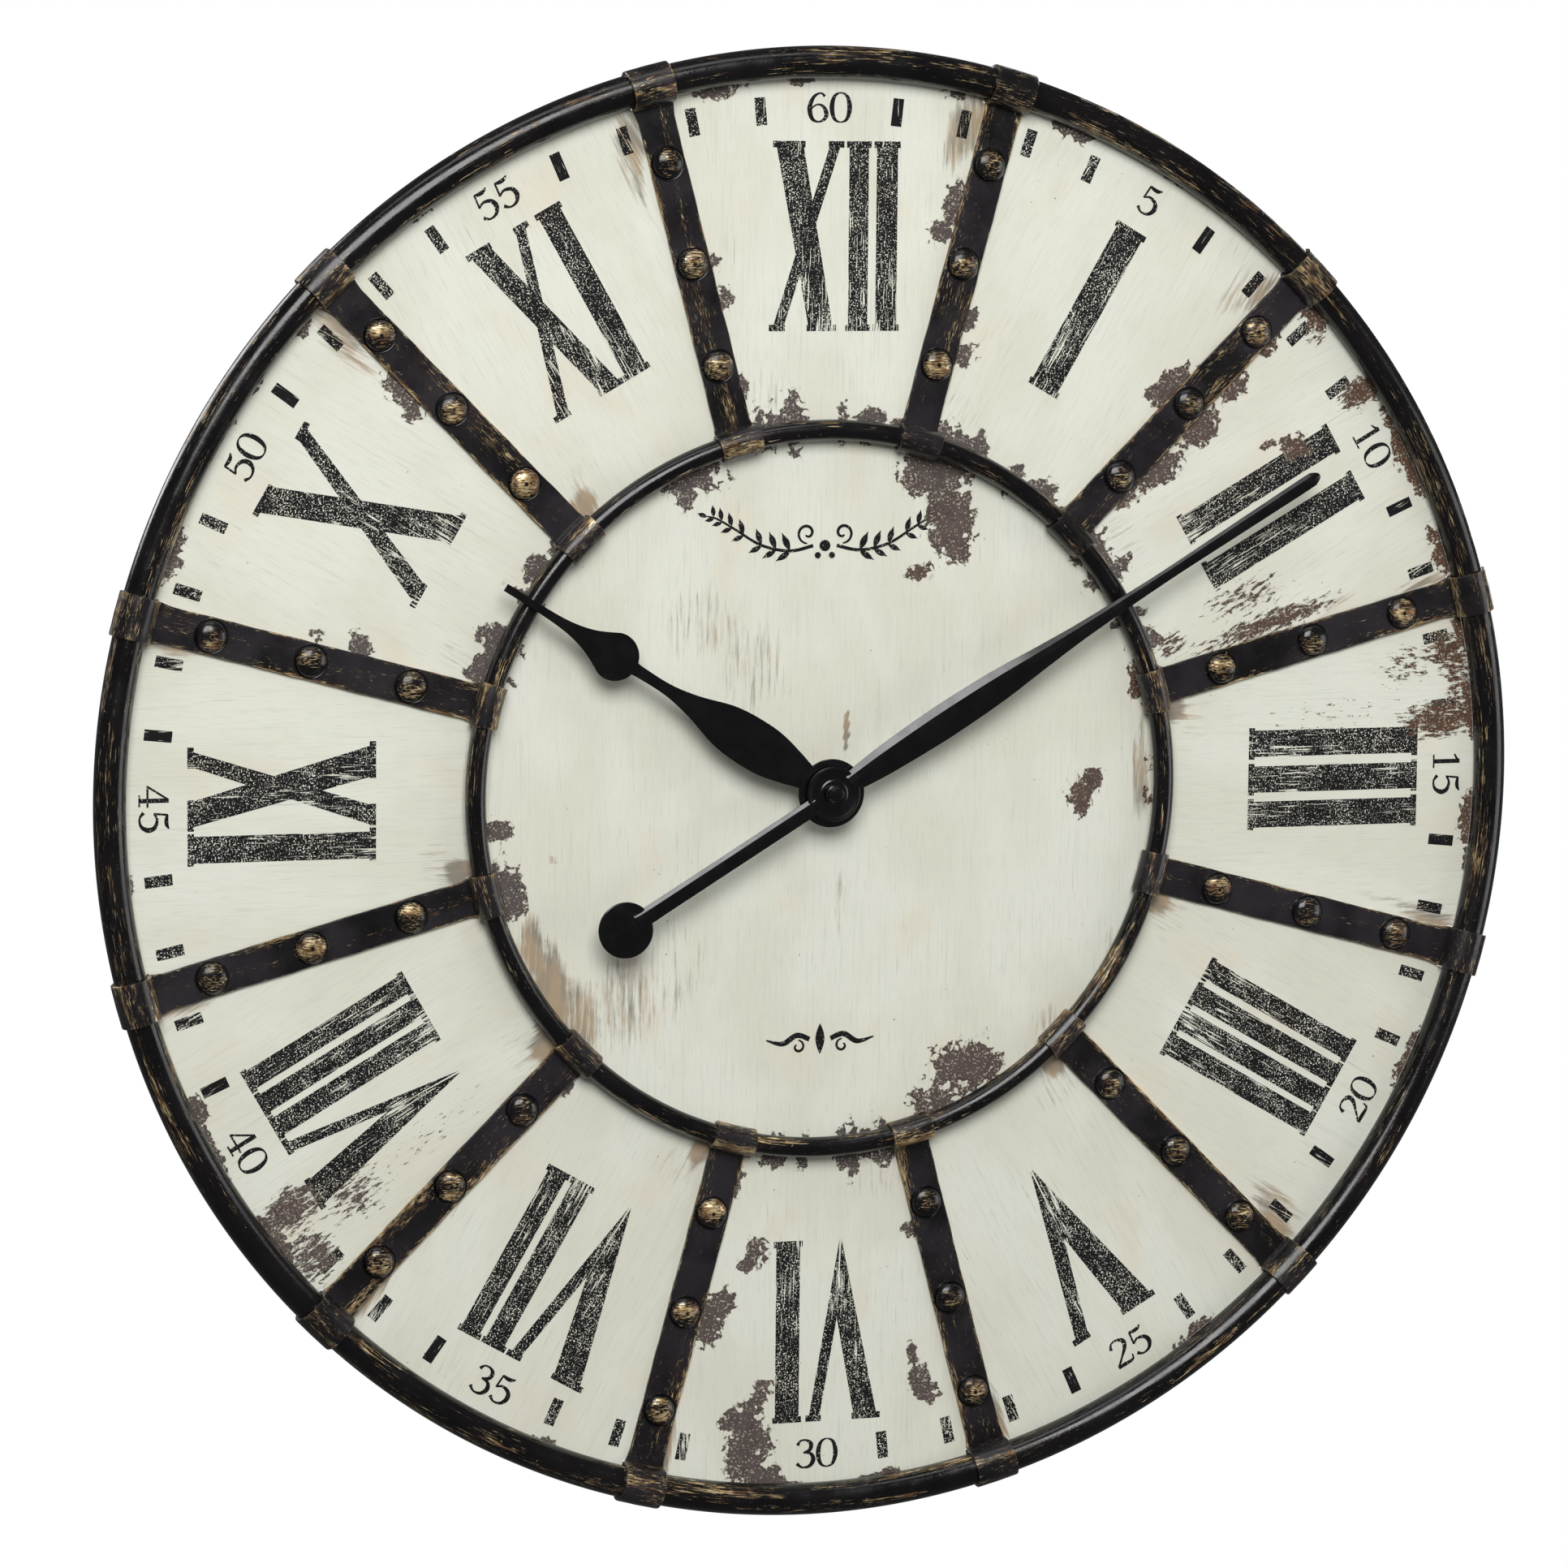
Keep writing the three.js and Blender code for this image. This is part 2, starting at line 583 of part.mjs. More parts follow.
// The flat hour hand: a leaf, a slim neck, a round-backed spade and a narrow square tip, pointing up.
const HOUR_LEAF = [[4.2, 9], [9.2, 28], [10.1, 41], [8.9, 54], [4.6, 69], [2.4, 82], [2.4, 96]];
const SPADE = { height: 107.5, radius: 9.8, from: -1.3, to: 0.3 };
const HOUR_TIP = [[4.8, 120], [2.3, 131], [1.6, 145], [1.6, HOUR_HAND_LENGTH]];
const HOUR_HUB_RADIUS = 14;
const COLLET = { radius: 3.4, end: -6.5 };

function smooth(points, steps) {
  return new THREE.SplineCurve(points.map(([x, z]) => new THREE.Vector2(x, z))).getPoints(steps);
}

function hourHand() {
  const back = -(HOUR_HAND_FRONT - HOUR_HAND_THICKNESS);
  const front = -HOUR_HAND_FRONT;
  const { height, radius, from, to } = SPADE;
  const round = new THREE.EllipseCurve(0, height, radius, radius, from, to).getPoints(4);
  const shoulder = [round.at(-1).x, round.at(-1).y];
  const rightSide = [
    ...smooth(HOUR_LEAF, 9), ...round.slice(0, -1), ...smooth([shoulder, ...HOUR_TIP], 6),
  ];
  const leftSide = rightSide.map((point) => new THREE.Vector2(-point.x, point.y)).reverse();
  const shape = new THREE.Shape([...rightSide, ...leftSide]);
  const blade = slab(shape, front, back);
  const hub = rod(HOUR_HUB_RADIUS, front, back, 24);
  const collet = rod(COLLET.radius, back - 0.2, COLLET.end, 12);
  return cut(join(blade, hub, collet), rod(HOUR_TUBE.radius + GAP, front - BEYOND, 0, 12));
}

// The minute hand: a ridged leaf that narrows to a round-ended rod, with a disc counterweight.
const MINUTE_WIDTHS = [
  [8, 4.2], [24, 5.9], [45, 6.9], [60, 7.1], [82, 6.5], [105, 4.7], [128, 3.3], [164, 2.4],
  [210, 2.7], [240.5, 2.9], [243.4, 2.1],
];
const COUNTERWEIGHT = { distance: 101.5, radius: 11.5, rise: 0.3 };
const MINUTE_BLADE = { brim: 0.9, ridge: 1.3, slope: 0.3 };
const MINUTE_TAIL_HALF = 3.6;
const MINUTE_HUB = { radius: 11.25, rise: 0.5 };

function minuteHand() {
  const back = -MINUTE_HAND_BACK;
  const edge = back - MINUTE_BLADE.brim;
  const section = (width, z) => {
    const ridge = edge - Math.min(MINUTE_BLADE.ridge, width * MINUTE_BLADE.slope);
    return [[-width, back, z], [width, back, z], [width, edge, z], [0, ridge, z], [-width, edge, z]];
  };
  const sections = MINUTE_WIDTHS.map(([z, width]) => section(width, z));
  sections.push(section(0.9, MINUTE_HAND_LENGTH));
  const leaf = lofted(sections);
  const { distance, radius, rise } = COUNTERWEIGHT;
  const tail = lofted([section(MINUTE_TAIL_HALF, -distance), section(MINUTE_TAIL_HALF, -8)]);
  const hub = rod(MINUTE_HUB.radius, back, edge - MINUTE_HUB.rise, 24);
  const weight = rod(radius, back, edge - rise, 20, 0, -distance);
  return cut(join(leaf, tail, hub, weight), rod(MINUTE_BORE, -30, 0, 10));
}

function handCapNut() {
  const back = -(MINUTE_HAND_BACK + MINUTE_BLADE.brim + MINUTE_HUB.rise + GAP);
  const profile = [
    [0, back - 3.3], [2.2, back - 3], [3.4, back - 2], [4, back - 1.4], [4, back], [MINUTE_BORE, back],
    [MINUTE_BORE, back - 2.3], [0, back - 2.3],
  ];
  return turned(profile, 12);
}

piece('movement_front_case', movementFrontCase(), BLACK_PLASTIC);
piece('movement_rear_cover', movementRearCover(setAxis), BLACK_PLASTIC);
piece('case_gasket', caseGasket(), RUBBER);
piece(
  'dial_washer',
  tube(BUSH_RADIUS + GAP, WASHER.radius, WASHER.front, -GAP, BUSH_SIDES),
  BRASS,
);
piece('bushing_nut', bushingNut(), BRASS);

const minuteGroup = new THREE.Group();
minuteGroup.rotation.y = degrees(MINUTE_ANGLE);
const hourGroup = new THREE.Group();
hourGroup.rotation.y = degrees(HOUR_ANGLE);
clock.add(minuteGroup, hourGroup);
piece('minute_hand', minuteHand(), HAND_BLACK, minuteGroup);
piece('hand_cap_nut', handCapNut(), HAND_BLACK, minuteGroup);
piece('hour_hand', hourHand(), HAND_BLACK, hourGroup);

// ---------------------------------------------------------------- hand drive
// The minute arbor carries the cannon pinion and, on a friction clutch, the centre wheel.
function minuteArbor() {
  const shaft = rod(MINUTE_ARBOR_RADIUS, -17.6, MINUTE_ARBOR_REAR, 10);
  const pinion = gear(TEETH.cannon, MOTION_MODULE, LAYER.motion - 0.1, LAYER.motion + 1.3, 0);
  return join(shaft, pinion);
}

function hourWheel() {
  const pipe = rod(HOUR_TUBE.radius, -12.8, LAYER.hour + 0.5, 12);
  const wheel = gear(TEETH.hour, hourModule, LAYER.hour, LAYER.hour + 1.2, hourPhase);
  return cut(join(pipe, wheel), rod(HOUR_TUBE.bore, -20, 20, 12));
}

function arbor(radius, from, to, axis) {
  return rod(radius, from, to, ARBOR_SIDES, axis.x, axis.z);
}

function motionWheel() {
  const { x, z } = motionAxis;
  const pinion = gear(
    TEETH.motionPinion, hourModule, LAYER.hour - 0.1, LAYER.motion + 0.5, 0, 0, x, z,
  );
  const wheel = gear(
    TEETH.motion, MOTION_MODULE, LAYER.motion, LAYER.motion + 1, motionPhase, 0, x, z,
  );
  return join(pinion, wheel, arbor(0.7, ARBOR_FRONT, LAYER.centre - GAP, motionAxis));
}

const SET_STEM_RADIUS = 1.1;
const KNOB_RIBS = 20;

function setStem() {
  const { x, z } = setAxis;
  const pinion = gear(
    TEETH.setPinion, MOTION_MODULE, LAYER.motion - 0.1, LAYER.motion + 1.2, setPhase, 0, x, z,
  );
  return join(pinion, arbor(SET_STEM_RADIUS, ARBOR_FRONT, CASE_REAR, setAxis));
}

function setKnob() {
  const module = (2 * SET_KNOB_RADIUS) / KNOB_RIBS;
  const grip = gear(KNOB_RIBS, module, COVER_FRONT + GAP, WALL - 0.7, 0);
  const knob = cut(grip, rod(SET_STEM_RADIUS + GAP, 0, CASE_REAR + GAP, 8));
  return knob.translate(setAxis.x, 0, setAxis.z);
}

piece('minute_arbor', minuteArbor(), BRASS);
piece(
  'centre_wheel',
  gear(TEETH.centre, CENTRE_MODULE, LAYER.centre, LAYER.centre + 1, 0, MINUTE_BORE),
  WHITE_PLASTIC,
);
piece('hour_wheel', hourWheel(), WHITE_PLASTIC);
piece('motion_wheel', motionWheel(), WHITE_PLASTIC);
piece('set_stem', setStem(), WHITE_PLASTIC);
piece('set_knob', setKnob(), WHITE_PLASTIC);

// ---------------------------------------------------------------- going train and motor
// A wheel and its pinion on one arbor.
function trainWheel(axis, wheel, pinion, from) {
  const { x, z } = axis;
  const wheelGear = gear(wheel.teeth, wheel.module, wheel.y, wheel.y + 0.8, 0, 0, x, z);
  const pinionGear = gear(
    pinion.teeth, pinion.module, pinion.y - 0.2, pinion.y + 1.2, pinion.phase, 0, x, z,
  );
  const bridge = arbor(0.45, Math.min(wheel.y, pinion.y), Math.max(wheel.y, pinion.y) + 0.5, axis);
  return join(wheelGear, pinionGear, bridge, arbor(0.4, from, ARBOR_REAR, axis));
}

piece(
  'third_wheel',
  trainWheel(
    thirdAxis,
    { teeth: TEETH.third, module: thirdModule, y: LAYER.third },
    { teeth: TEETH.thirdPinion, module: CENTRE_MODULE, y: LAYER.centre, phase: thirdPinionPhase },
    ARBOR_FRONT,
  ),
  WHITE_PLASTIC,
);
piece(
  'seconds_wheel',
  trainWheel(
    CENTRE,
    { teeth: TEETH.seconds, module: SECONDS_MODULE, y: LAYER.seconds },
    { teeth: TEETH.secondsPinion, module: thirdModule, y: LAYER.third, phase: secondsPinionPhase },
    MINUTE_ARBOR_REAR + GAP,
  ),
  WHITE_PLASTIC,
);
piece(
  'intermediate_wheel',
  trainWheel(
    betweenAxis,
    { teeth: TEETH.between, module: rotorModule, y: LAYER.between },
    {
      teeth: TEETH.betweenPinion, module: SECONDS_MODULE, y: LAYER.seconds,
      phase: betweenPinionPhase,
    },
    LAYER.third + 1.1,
  ),
  WHITE_PLASTIC,
);

const MAGNET = { radius: 2.5, y0: 15.5, y1: 17.2 };

function rotor() {
  const { x, z } = rotorAxis;
  const magnet = rod(MAGNET.radius, MAGNET.y0, MAGNET.y1, 12, x, z);
  const pinion = gear(
    TEETH.rotorPinion, rotorModule, 17, LAYER.between + 1, rotorPinionPhase, 0, x, z,
  );
  return join(magnet, pinion, arbor(0.35, ARBOR_FRONT, ARBOR_REAR, rotorAxis));
}

const STATOR = {
  y0: 15.9, y1: 16.7, x0: -1.5, x1: 20.5, z0: 8.4, z1: 23.5, bar: 3, window: 16, bore: 2.9,
};
const BOBBIN = { flange: 3.6, wire: 3.1, cheek: 0.8, play: 0.5 };

function stator() {
  const { y0, y1, x0, x1, z0, z1, bar, bore } = STATOR;
  const [before, beyond] = [y0 - BEYOND, y1 + BEYOND];
  const frame = block(x0, x1, y0, y1, z0, z1);
  const window = block(x0 + bar, x1 - bar, before, beyond, STATOR.window, z1 - bar);
  return cut(frame, window, rod(bore, before, beyond, 16, rotorAxis.x, rotorAxis.z));
}

function coil() {
  const { y0, y1, x0, x1, z1, bar } = STATOR;
  const { flange, wire, cheek, play } = BOBBIN;
  const [from, to] = [x0 + bar + play, x1 - bar - play];
  const [y, z] = [(y0 + y1) / 2, z1 - bar / 2];
  const bobbin = [
    [0, from], [flange, from], [flange, from + cheek], [wire, from + cheek], [wire, to - cheek],
    [flange, to - cheek], [flange, to], [0, to],
  ];
  const winding = turned(bobbin, 12).rotateZ(-Math.PI / 2).translate(0, y, z);
  const core = block(x0, x1, y0 - GAP, y1 + GAP, z1 - bar - GAP, z1 + GAP);
  return cut(winding, core);
}

// The board lies flat behind the train, with the chip on its face.
function circuitBoard() {
  const board = block(-24.8, -13.5, 18.5, 19.3, -8.5, 24);
  const chip = block(-22, -16, 17.4, 18.7, 3, 8);
  return join(board, chip);
}

const CONTACT = { outside: 26.4, inside: 25.9, bump: 25.55, low: -25.5, high: -13, rear: 20 };

// A spring strip at one end of the bay, with a dimple that presses on the cell.
function batteryContact(side) {
  const { outside, inside, bump, low, high, rear } = CONTACT;
  const [from, to] = side < 0 ? [-outside, -inside] : [inside, outside];
  const strip = block(from, to, CASE_FLOOR + GAP, rear, low, high);
  const [dimpleFrom, dimpleTo] = side < 0 ? [-inside - 0.2, -bump] : [bump, inside + 0.2];
  return join(strip, block(dimpleFrom, dimpleTo, 12, 18, -21, -17));
}

const TERMINAL = { radius: 2.75, length: 1 };
const BATTERY_CENTRE = -19.35;

const CRYSTAL = { radius: 1, y0: 12.2, y1: 18.2, x: -18, z: 16 };

function battery() {
  const end = (BATTERY_LENGTH + TERMINAL.length) / 2;
  const shoulder = end - TERMINAL.length;
  const profile = [
    [0, -end], [BATTERY_RADIUS, -end], [BATTERY_RADIUS, shoulder],
    [TERMINAL.radius, shoulder], [TERMINAL.radius, end], [0, end],
  ];
  const cell = turned(profile, 16).rotateZ(-Math.PI / 2);
  return cell.translate(0, CASE_FLOOR + GAP + BATTERY_RADIUS, BATTERY_CENTRE);
}

piece('rotor', rotor(), ZINC);
piece('stator', stator(), ZINC);
piece('coil', coil(), COPPER);
piece('circuit_board', circuitBoard(), BOARD_GREEN);
piece(
  'quartz_crystal',
  rod(CRYSTAL.radius, CRYSTAL.y0, CRYSTAL.y1, 8, CRYSTAL.x, CRYSTAL.z),
  ZINC,
);
piece('battery_contact_negative', batteryContact(-1), ZINC);
piece('battery_contact_positive', batteryContact(1), ZINC);
piece('battery', battery(), BATTERY_SLEEVE);

// ---------------------------------------------------------------- origin on the nail's seat
clock.position.set(0, -WALL, -NAIL_SEAT);

export default clock;
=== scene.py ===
import json
import math
from contextlib import contextmanager

import bmesh
import bpy
import numpy as np
from mathutils import Matrix, Vector


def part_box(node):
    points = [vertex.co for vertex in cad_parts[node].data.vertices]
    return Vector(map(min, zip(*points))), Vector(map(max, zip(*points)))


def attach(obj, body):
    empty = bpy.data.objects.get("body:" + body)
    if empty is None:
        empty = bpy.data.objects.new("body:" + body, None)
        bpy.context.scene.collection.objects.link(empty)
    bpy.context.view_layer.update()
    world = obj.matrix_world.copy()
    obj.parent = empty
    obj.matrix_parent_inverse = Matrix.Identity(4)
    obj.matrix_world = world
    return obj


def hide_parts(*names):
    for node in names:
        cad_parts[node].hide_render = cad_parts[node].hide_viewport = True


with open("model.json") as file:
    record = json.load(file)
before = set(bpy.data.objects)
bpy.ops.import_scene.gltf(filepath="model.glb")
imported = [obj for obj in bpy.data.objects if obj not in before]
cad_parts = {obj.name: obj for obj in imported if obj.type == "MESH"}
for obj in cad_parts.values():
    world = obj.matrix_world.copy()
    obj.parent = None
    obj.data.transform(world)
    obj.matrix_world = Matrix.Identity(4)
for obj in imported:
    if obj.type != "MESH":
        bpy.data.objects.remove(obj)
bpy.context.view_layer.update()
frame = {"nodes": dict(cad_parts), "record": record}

MM = 0.001
TURN = 2 * math.pi

# ---------------------------------------------------------------- the frame the clock is measured in
# A point is (x, h, z) in millimetres: x to the right and z up from the hands' axis, and h in front of
# the dial's face.
ring_low, ring_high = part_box("outer_ring")
AXIS_X = (ring_low.x + ring_high.x) / 2
AXIS_Z = (ring_low.z + ring_high.z) / 2
FACE_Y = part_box("dial_board")[0].y


def place(x, h, z):
    return Vector((AXIS_X + x * MM, FACE_Y - h * MM, AXIS_Z + z * MM))


def turned(x, z, angle):
    """A dial point turned clockwise by an angle in radians."""
    return x * math.cos(angle) + z * math.sin(angle), z * math.cos(angle) - x * math.sin(angle)


def turned_frame(angle):
    """Gives a function that takes a point as if at twelve and turns it clockwise to the angle."""
    def at(u, h, v):
        x, z = turned(u, v, angle)
        return (x, h, z)

    return at


def node_tip_angle(node):
    """The clockwise angle of a hand at rest: the direction of its farthest vertex from the axis."""
    points = [(v.co.x - AXIS_X, v.co.z - AXIS_Z) for v in frame["nodes"][node].data.vertices]
    x, z = max(points, key=lambda p: p[0] ** 2 + p[1] ** 2)
    return math.atan2(x, z)


def extent(node):
    """A node's extent in h, lowest first, in millimetres."""
    low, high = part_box(node)
    return (FACE_Y - high.y) / MM, (FACE_Y - low.y) / MM


# Driving sizes in millimetres. An axis is a ring's height above the dial's face.
HOURS = 12
MINUTES = 60
SECTOR = TURN / HOURS
SECTOR_DEGREES = 360 // HOURS
RING_RADIUS = 293.5
RING_AXIS = 3.0
RING_TUBE = 6.5
INNER_RADIUS = 146.5
INNER_AXIS = 4.5
INNER_ROD = 4.2
BOARD_RADIUS = 287.68
BOARD_NOTCH = 285.3
BOARD_DEPTH = 5.0
BUSH_HOLE = 4.4
STRAP_HALF = 7.5
STRAP_UNDER = 0.3
STRAP_TOP = 1.8
COLLAR_HALF = 8.75
RIVET_RADII = (178.3, 220.3, 261.7)


# ---------------------------------------------------------------- materials
def srgb(red, green, blue):
    """A shader's colour from display values of 0 to 255."""
    def linear(value):
        value /= 255
        return value / 12.92 if value <= 0.04045 else ((value + 0.055) / 1.055) ** 2.4

    return (linear(red), linear(green), linear(blue), 1.0)


class Shade:
    """One node material. Each method adds a node and returns its output socket."""

    VECTOR = 1
    FACTOR = 2
    OBJECT_POINT = 3

    def __init__(self, name, **flat):
        self.material = bpy.data.materials.new(name)
        self.material.use_nodes = True
        self.tree = self.material.node_tree
        self.tree.nodes.clear()
        self.surface = self.tree.nodes.new("ShaderNodeBsdfPrincipled")
        output = self.tree.nodes.new("ShaderNodeOutputMaterial")
        self.tree.links.new(self.surface.outputs[0], output.inputs[0])
        self.set(**flat)

    def put(self, socket, value):
        if isinstance(value, bpy.types.NodeSocket):
            self.tree.links.new(value, socket)
        else:
            socket.default_value = value

    def set(self, **values):
        for key, value in values.items():
            self.put(self.surface.inputs[key.replace("_", " ")], value)

    def node(self, kind, values=None, out=0, **settings):
        node = self.tree.nodes.new("ShaderNode" + kind)
        for key, value in settings.items():
            setattr(node, key, value)
        for key, value in (values or {}).items():
            self.put(node.inputs[key], value)
        return node.outputs[out]

    def math(self, operation, first, second=0.0):
        return self.node("Math", {0: first, 1: second}, operation=operation)

    def plus(self, first, second):
        return self.math("ADD", first, second)

    def minus(self, first, second):
        return self.math("SUBTRACT", first, second)

    def times(self, first, second):
        return self.math("MULTIPLY", first, second)

    def larger(self, first, second):
        return self.math("MAXIMUM", first, second)

    def band(self, value, low, high, to_low=0.0, to_high=1.0):
        """Runs smoothly from to_low to to_high as value goes from low to high."""
        values = {"Value": value, "From Min": low, "From Max": high, "To Min": to_low, "To Max": to_high}
        return self.node("MapRange", values, interpolation_type="SMOOTHSTEP")

    def mix(self, factor, first, second):
        return self.node("Mix", {0: factor, 6: first, 7: second}, out=2, data_type="RGBA")

    def attribute(self, name, out=VECTOR):
        return self.node("Attribute", out=out, attribute_type="GEOMETRY", attribute_name=name)

    def place(self):
        """The point on the piece, in millimetres."""
        return self.stretch(self.node("TexCoord", out=self.OBJECT_POINT), 1 / MM, 1 / MM, 1 / MM)

    def stretch(self, vector, x, y, z):
        return self.node("VectorMath", {0: vector, 1: (x, y, z)}, operation="MULTIPLY")

    def part(self, vector, axis):
        return self.node("SeparateXYZ", {0: vector}, out=axis)

    def noise(self, vector, grain, detail=2.0, rough=0.5):
        """Noise whose features are about grain millimetres across; grain may be one size per axis."""
        sizes = grain if isinstance(grain, tuple) else (grain,) * 3
        vector = self.stretch(vector, *[1 / size for size in sizes])
        values = {"Vector": vector, "Scale": 1.0, "Detail": detail, "Roughness": rough, "Distortion": 0.0}
        return self.node("TexNoise", values)

    def swing(self, vector, grain, detail, rough, reach):
        """Noise about zero, of a full reach."""
        return self.times(self.minus(self.noise(vector, grain, detail, rough), 0.5), reach)

    def cells(self, vector, grain):
        vector = self.stretch(vector, 1 / grain, 1 / grain, 1 / grain)
        return self.node("TexVoronoi", {"Vector": vector, "Scale": 1.0})

    def bump(self, height, depth, strength=1.0):
        """Surface relief of a depth in millimetres where height goes from 0 to 1."""
        values = {"Height": height, "Distance": depth * MM, "Strength": strength}
        self.put(self.surface.inputs["Normal"], self.node("Bump", values))


# The dial's paint.
CREAM = srgb(233, 234, 220)
CREAM_SHADE = srgb(226, 225, 209)
BLUSH = srgb(231, 219, 197)
BRUSHED = srgb(202, 203, 190)
BRUSHED_FINE = srgb(190, 192, 180)
HAIRLINE = srgb(128, 126, 118)
SPECK = srgb(120, 98, 74)
STAIN_BROWN = srgb(158, 128, 92)
STAIN_GREY = srgb(116, 104, 88)
INK_DARK = srgb(8, 7, 9)
INK_PALE = srgb(24, 22, 24)

# The ground that shows where the paint is gone, and how the loss's edges run. Each ragged term is noise
# with features of one size in millimetres that moves an edge by its reach.
PLUM_DARK = srgb(62, 54, 55)
PLUM_PALE = srgb(108, 99, 95)
BROWN_DARK = srgb(52, 34, 23)
BROWN_PALE = srgb(114, 80, 55)
MOTTLE = srgb(62, 53, 50)
PAINT_EDGE = srgb(58, 47, 40)
CHALK = srgb(184, 176, 158)
LIFTED_RIM = srgb(150, 138, 120)
RAGGED = ((11, 12), (3.2, 8), (1.1, 2.4))
CREST_LEVEL = 0.07
CREST_REACH = 24
FLECK_LEVEL = 0.765
FLECK_REACH = 34

# How far out along a numeral its ink starts to thin toward the hub, and where that ends.
INK_FULL = 248
INK_THIN = 196


def painted_ground(s):
    """The dial's aged cream paint: brushed grain, warm and cool clouds, stains and hairline scratches."""
    grain = s.attribute("grain")
    point = s.place()
    cloud = s.noise(grain, (46, 90, 1), 3, 0.55)
    colour = s.mix(s.band(cloud, 0.38, 0.62), CREAM, CREAM_SHADE)
    blush = s.noise(grain, (30, 42, 1))
    colour = s.mix(s.band(blush, 0.56, 0.74, 0, 0.45), colour, BLUSH)
    brush = s.noise(grain, (1.3, 42, 1), 4, 0.65)
    colour = s.mix(s.band(brush, 0.5, 0.8, 0, 0.5), colour, BRUSHED)
    fine = s.noise(grain, (0.45, 9, 1))
    colour = s.mix(s.band(fine, 0.5, 0.8, 0, 0.34), colour, BRUSHED_FINE)
    where = s.noise(grain, (26, 60, 1))
    hair = s.times(s.band(s.noise(grain, (0.6, 26, 1)), 0.66, 0.74), s.band(where, 0.52, 0.66))
    colour = s.mix(s.times(hair, 0.55), colour, HAIRLINE)
    speck = s.times(s.band(s.cells(point, 7.0), 0.07, 0.03), s.band(where, 0.5, 0.7))
    colour = s.mix(s.times(speck, 0.8), colour, SPECK)
    streaks = s.times(s.noise(grain, (1.6, 24, 1), 4, 0.7), 1.5)
    stain = s.minus(s.plus(s.attribute("stain", s.FACTOR), streaks), 1.12)
    tint = s.mix(s.band(s.noise(grain, (5, 24, 1)), 0.4, 0.6), STAIN_BROWN, STAIN_GREY)
    colour = s.mix(s.times(s.band(stain, 0.0, 0.5), 0.8), colour, tint)
    return colour, (brush, fine)


def worn_through(s, colour):
    """Paint flaked off down to the dark ground where the loss attribute says so, in patches and flecks."""
    point = s.place()
    grain = s.attribute("grain")
    loss = s.attribute("loss")
    depth = s.part(loss, 0)
    for size, reach in RAGGED:
        depth = s.plus(depth, s.swing(point, size, 2, 0.7, reach))
    crest = s.math("ABSOLUTE", s.minus(s.noise(point, 5.0), 0.5))
    depth = s.plus(depth, s.times(s.minus(CREST_LEVEL, crest), CREST_REACH))
    flake = s.noise(grain, (1.6, 5.8, 1), 6, 0.72)
    fleck = s.minus(s.plus(flake, s.times(s.part(loss, 1), 0.25)), FLECK_LEVEL)
    depth = s.larger(depth, s.times(fleck, FLECK_REACH))
    bare = s.band(depth, -0.12, 0.18)
    plum = s.mix(s.noise(point, 5, 3), PLUM_DARK, PLUM_PALE)
    brown = s.mix(s.noise(point, 5, 3), BROWN_DARK, BROWN_PALE)
    ground = s.mix(s.part(loss, 2), plum, brown)
    ground = s.mix(s.band(s.noise(point, 1.6, 3, 0.7), 0.56, 0.66, 0, 0.75), ground, MOTTLE)
    ground = s.mix(s.times(s.band(depth, 1.5, 0.2), 0.6), ground, PAINT_EDGE)
    left_level = s.band(depth, 0.4, 7.0, 0.56, 0.615)
    left_paint = s.band(s.minus(s.noise(point, 0.95, 2, 0.6), left_level), 0.0, 0.04)
    ground = s.mix(s.times(left_paint, 0.85), ground, CHALK)
    rim = s.times(s.band(depth, -1.2, -0.1), s.minus(1.0, bare))
    colour = s.mix(s.times(rim, 0.35), colour, LIFTED_RIM)
    return s.mix(bare, colour, ground), bare


def dial_paint():
    s = Shade("aged_cream_paint", IOR=1.45)
    colour, (brush, fine) = painted_ground(s)
    colour, bare = worn_through(s, colour)
    s.set(Base_Color=colour, Roughness=s.band(bare, 0, 1, 0.55, 0.8))
    s.bump(s.minus(s.times(s.plus(brush, fine), 0.16), bare), 0.22, 0.6)
    return s.material


def dial_ink(name, speckle, scratch):
    """Printed black, rubbed through to the paint in specks and in long scratches along the grain."""
    s = Shade(name, IOR=1.3)
    paint, _ = painted_ground(s)
    point = s.place()
    grain = s.attribute("grain")
    specks = s.plus(s.noise(point, 0.62, 2, 0.55), s.swing(point, 11, 3, 0.5, 0.22))
    specks = s.band(specks, speckle, speckle + 0.05)
    cut = s.plus(s.noise(grain, (0.6, 15, 1), 3, 0.6), s.swing(grain, (7, 20, 1), 2, 0.5, 0.42))
    thin = s.band(s.part(grain, 1), INK_FULL, INK_THIN, 0.0, 0.085)
    cut = s.band(s.plus(cut, thin), scratch, scratch + 0.05)
    gone = s.larger(specks, cut)
    ink = s.mix(s.noise(point, 3), INK_DARK, INK_PALE)
    colour, _ = worn_through(s, s.mix(gone, ink, paint))
    s.set(Base_Color=colour, Roughness=s.band(gone, 0, 1, 0.7, 0.6))
    s.bump(s.minus(1.0, gone), 0.05, 0.4)
    return s.material


SOOT = srgb(8, 6, 8)
BRONZE = srgb(182, 146, 90)
BRONZE_BRIGHT = srgb(232, 210, 164)
BRONZE_DEEP = srgb(118, 80, 46)


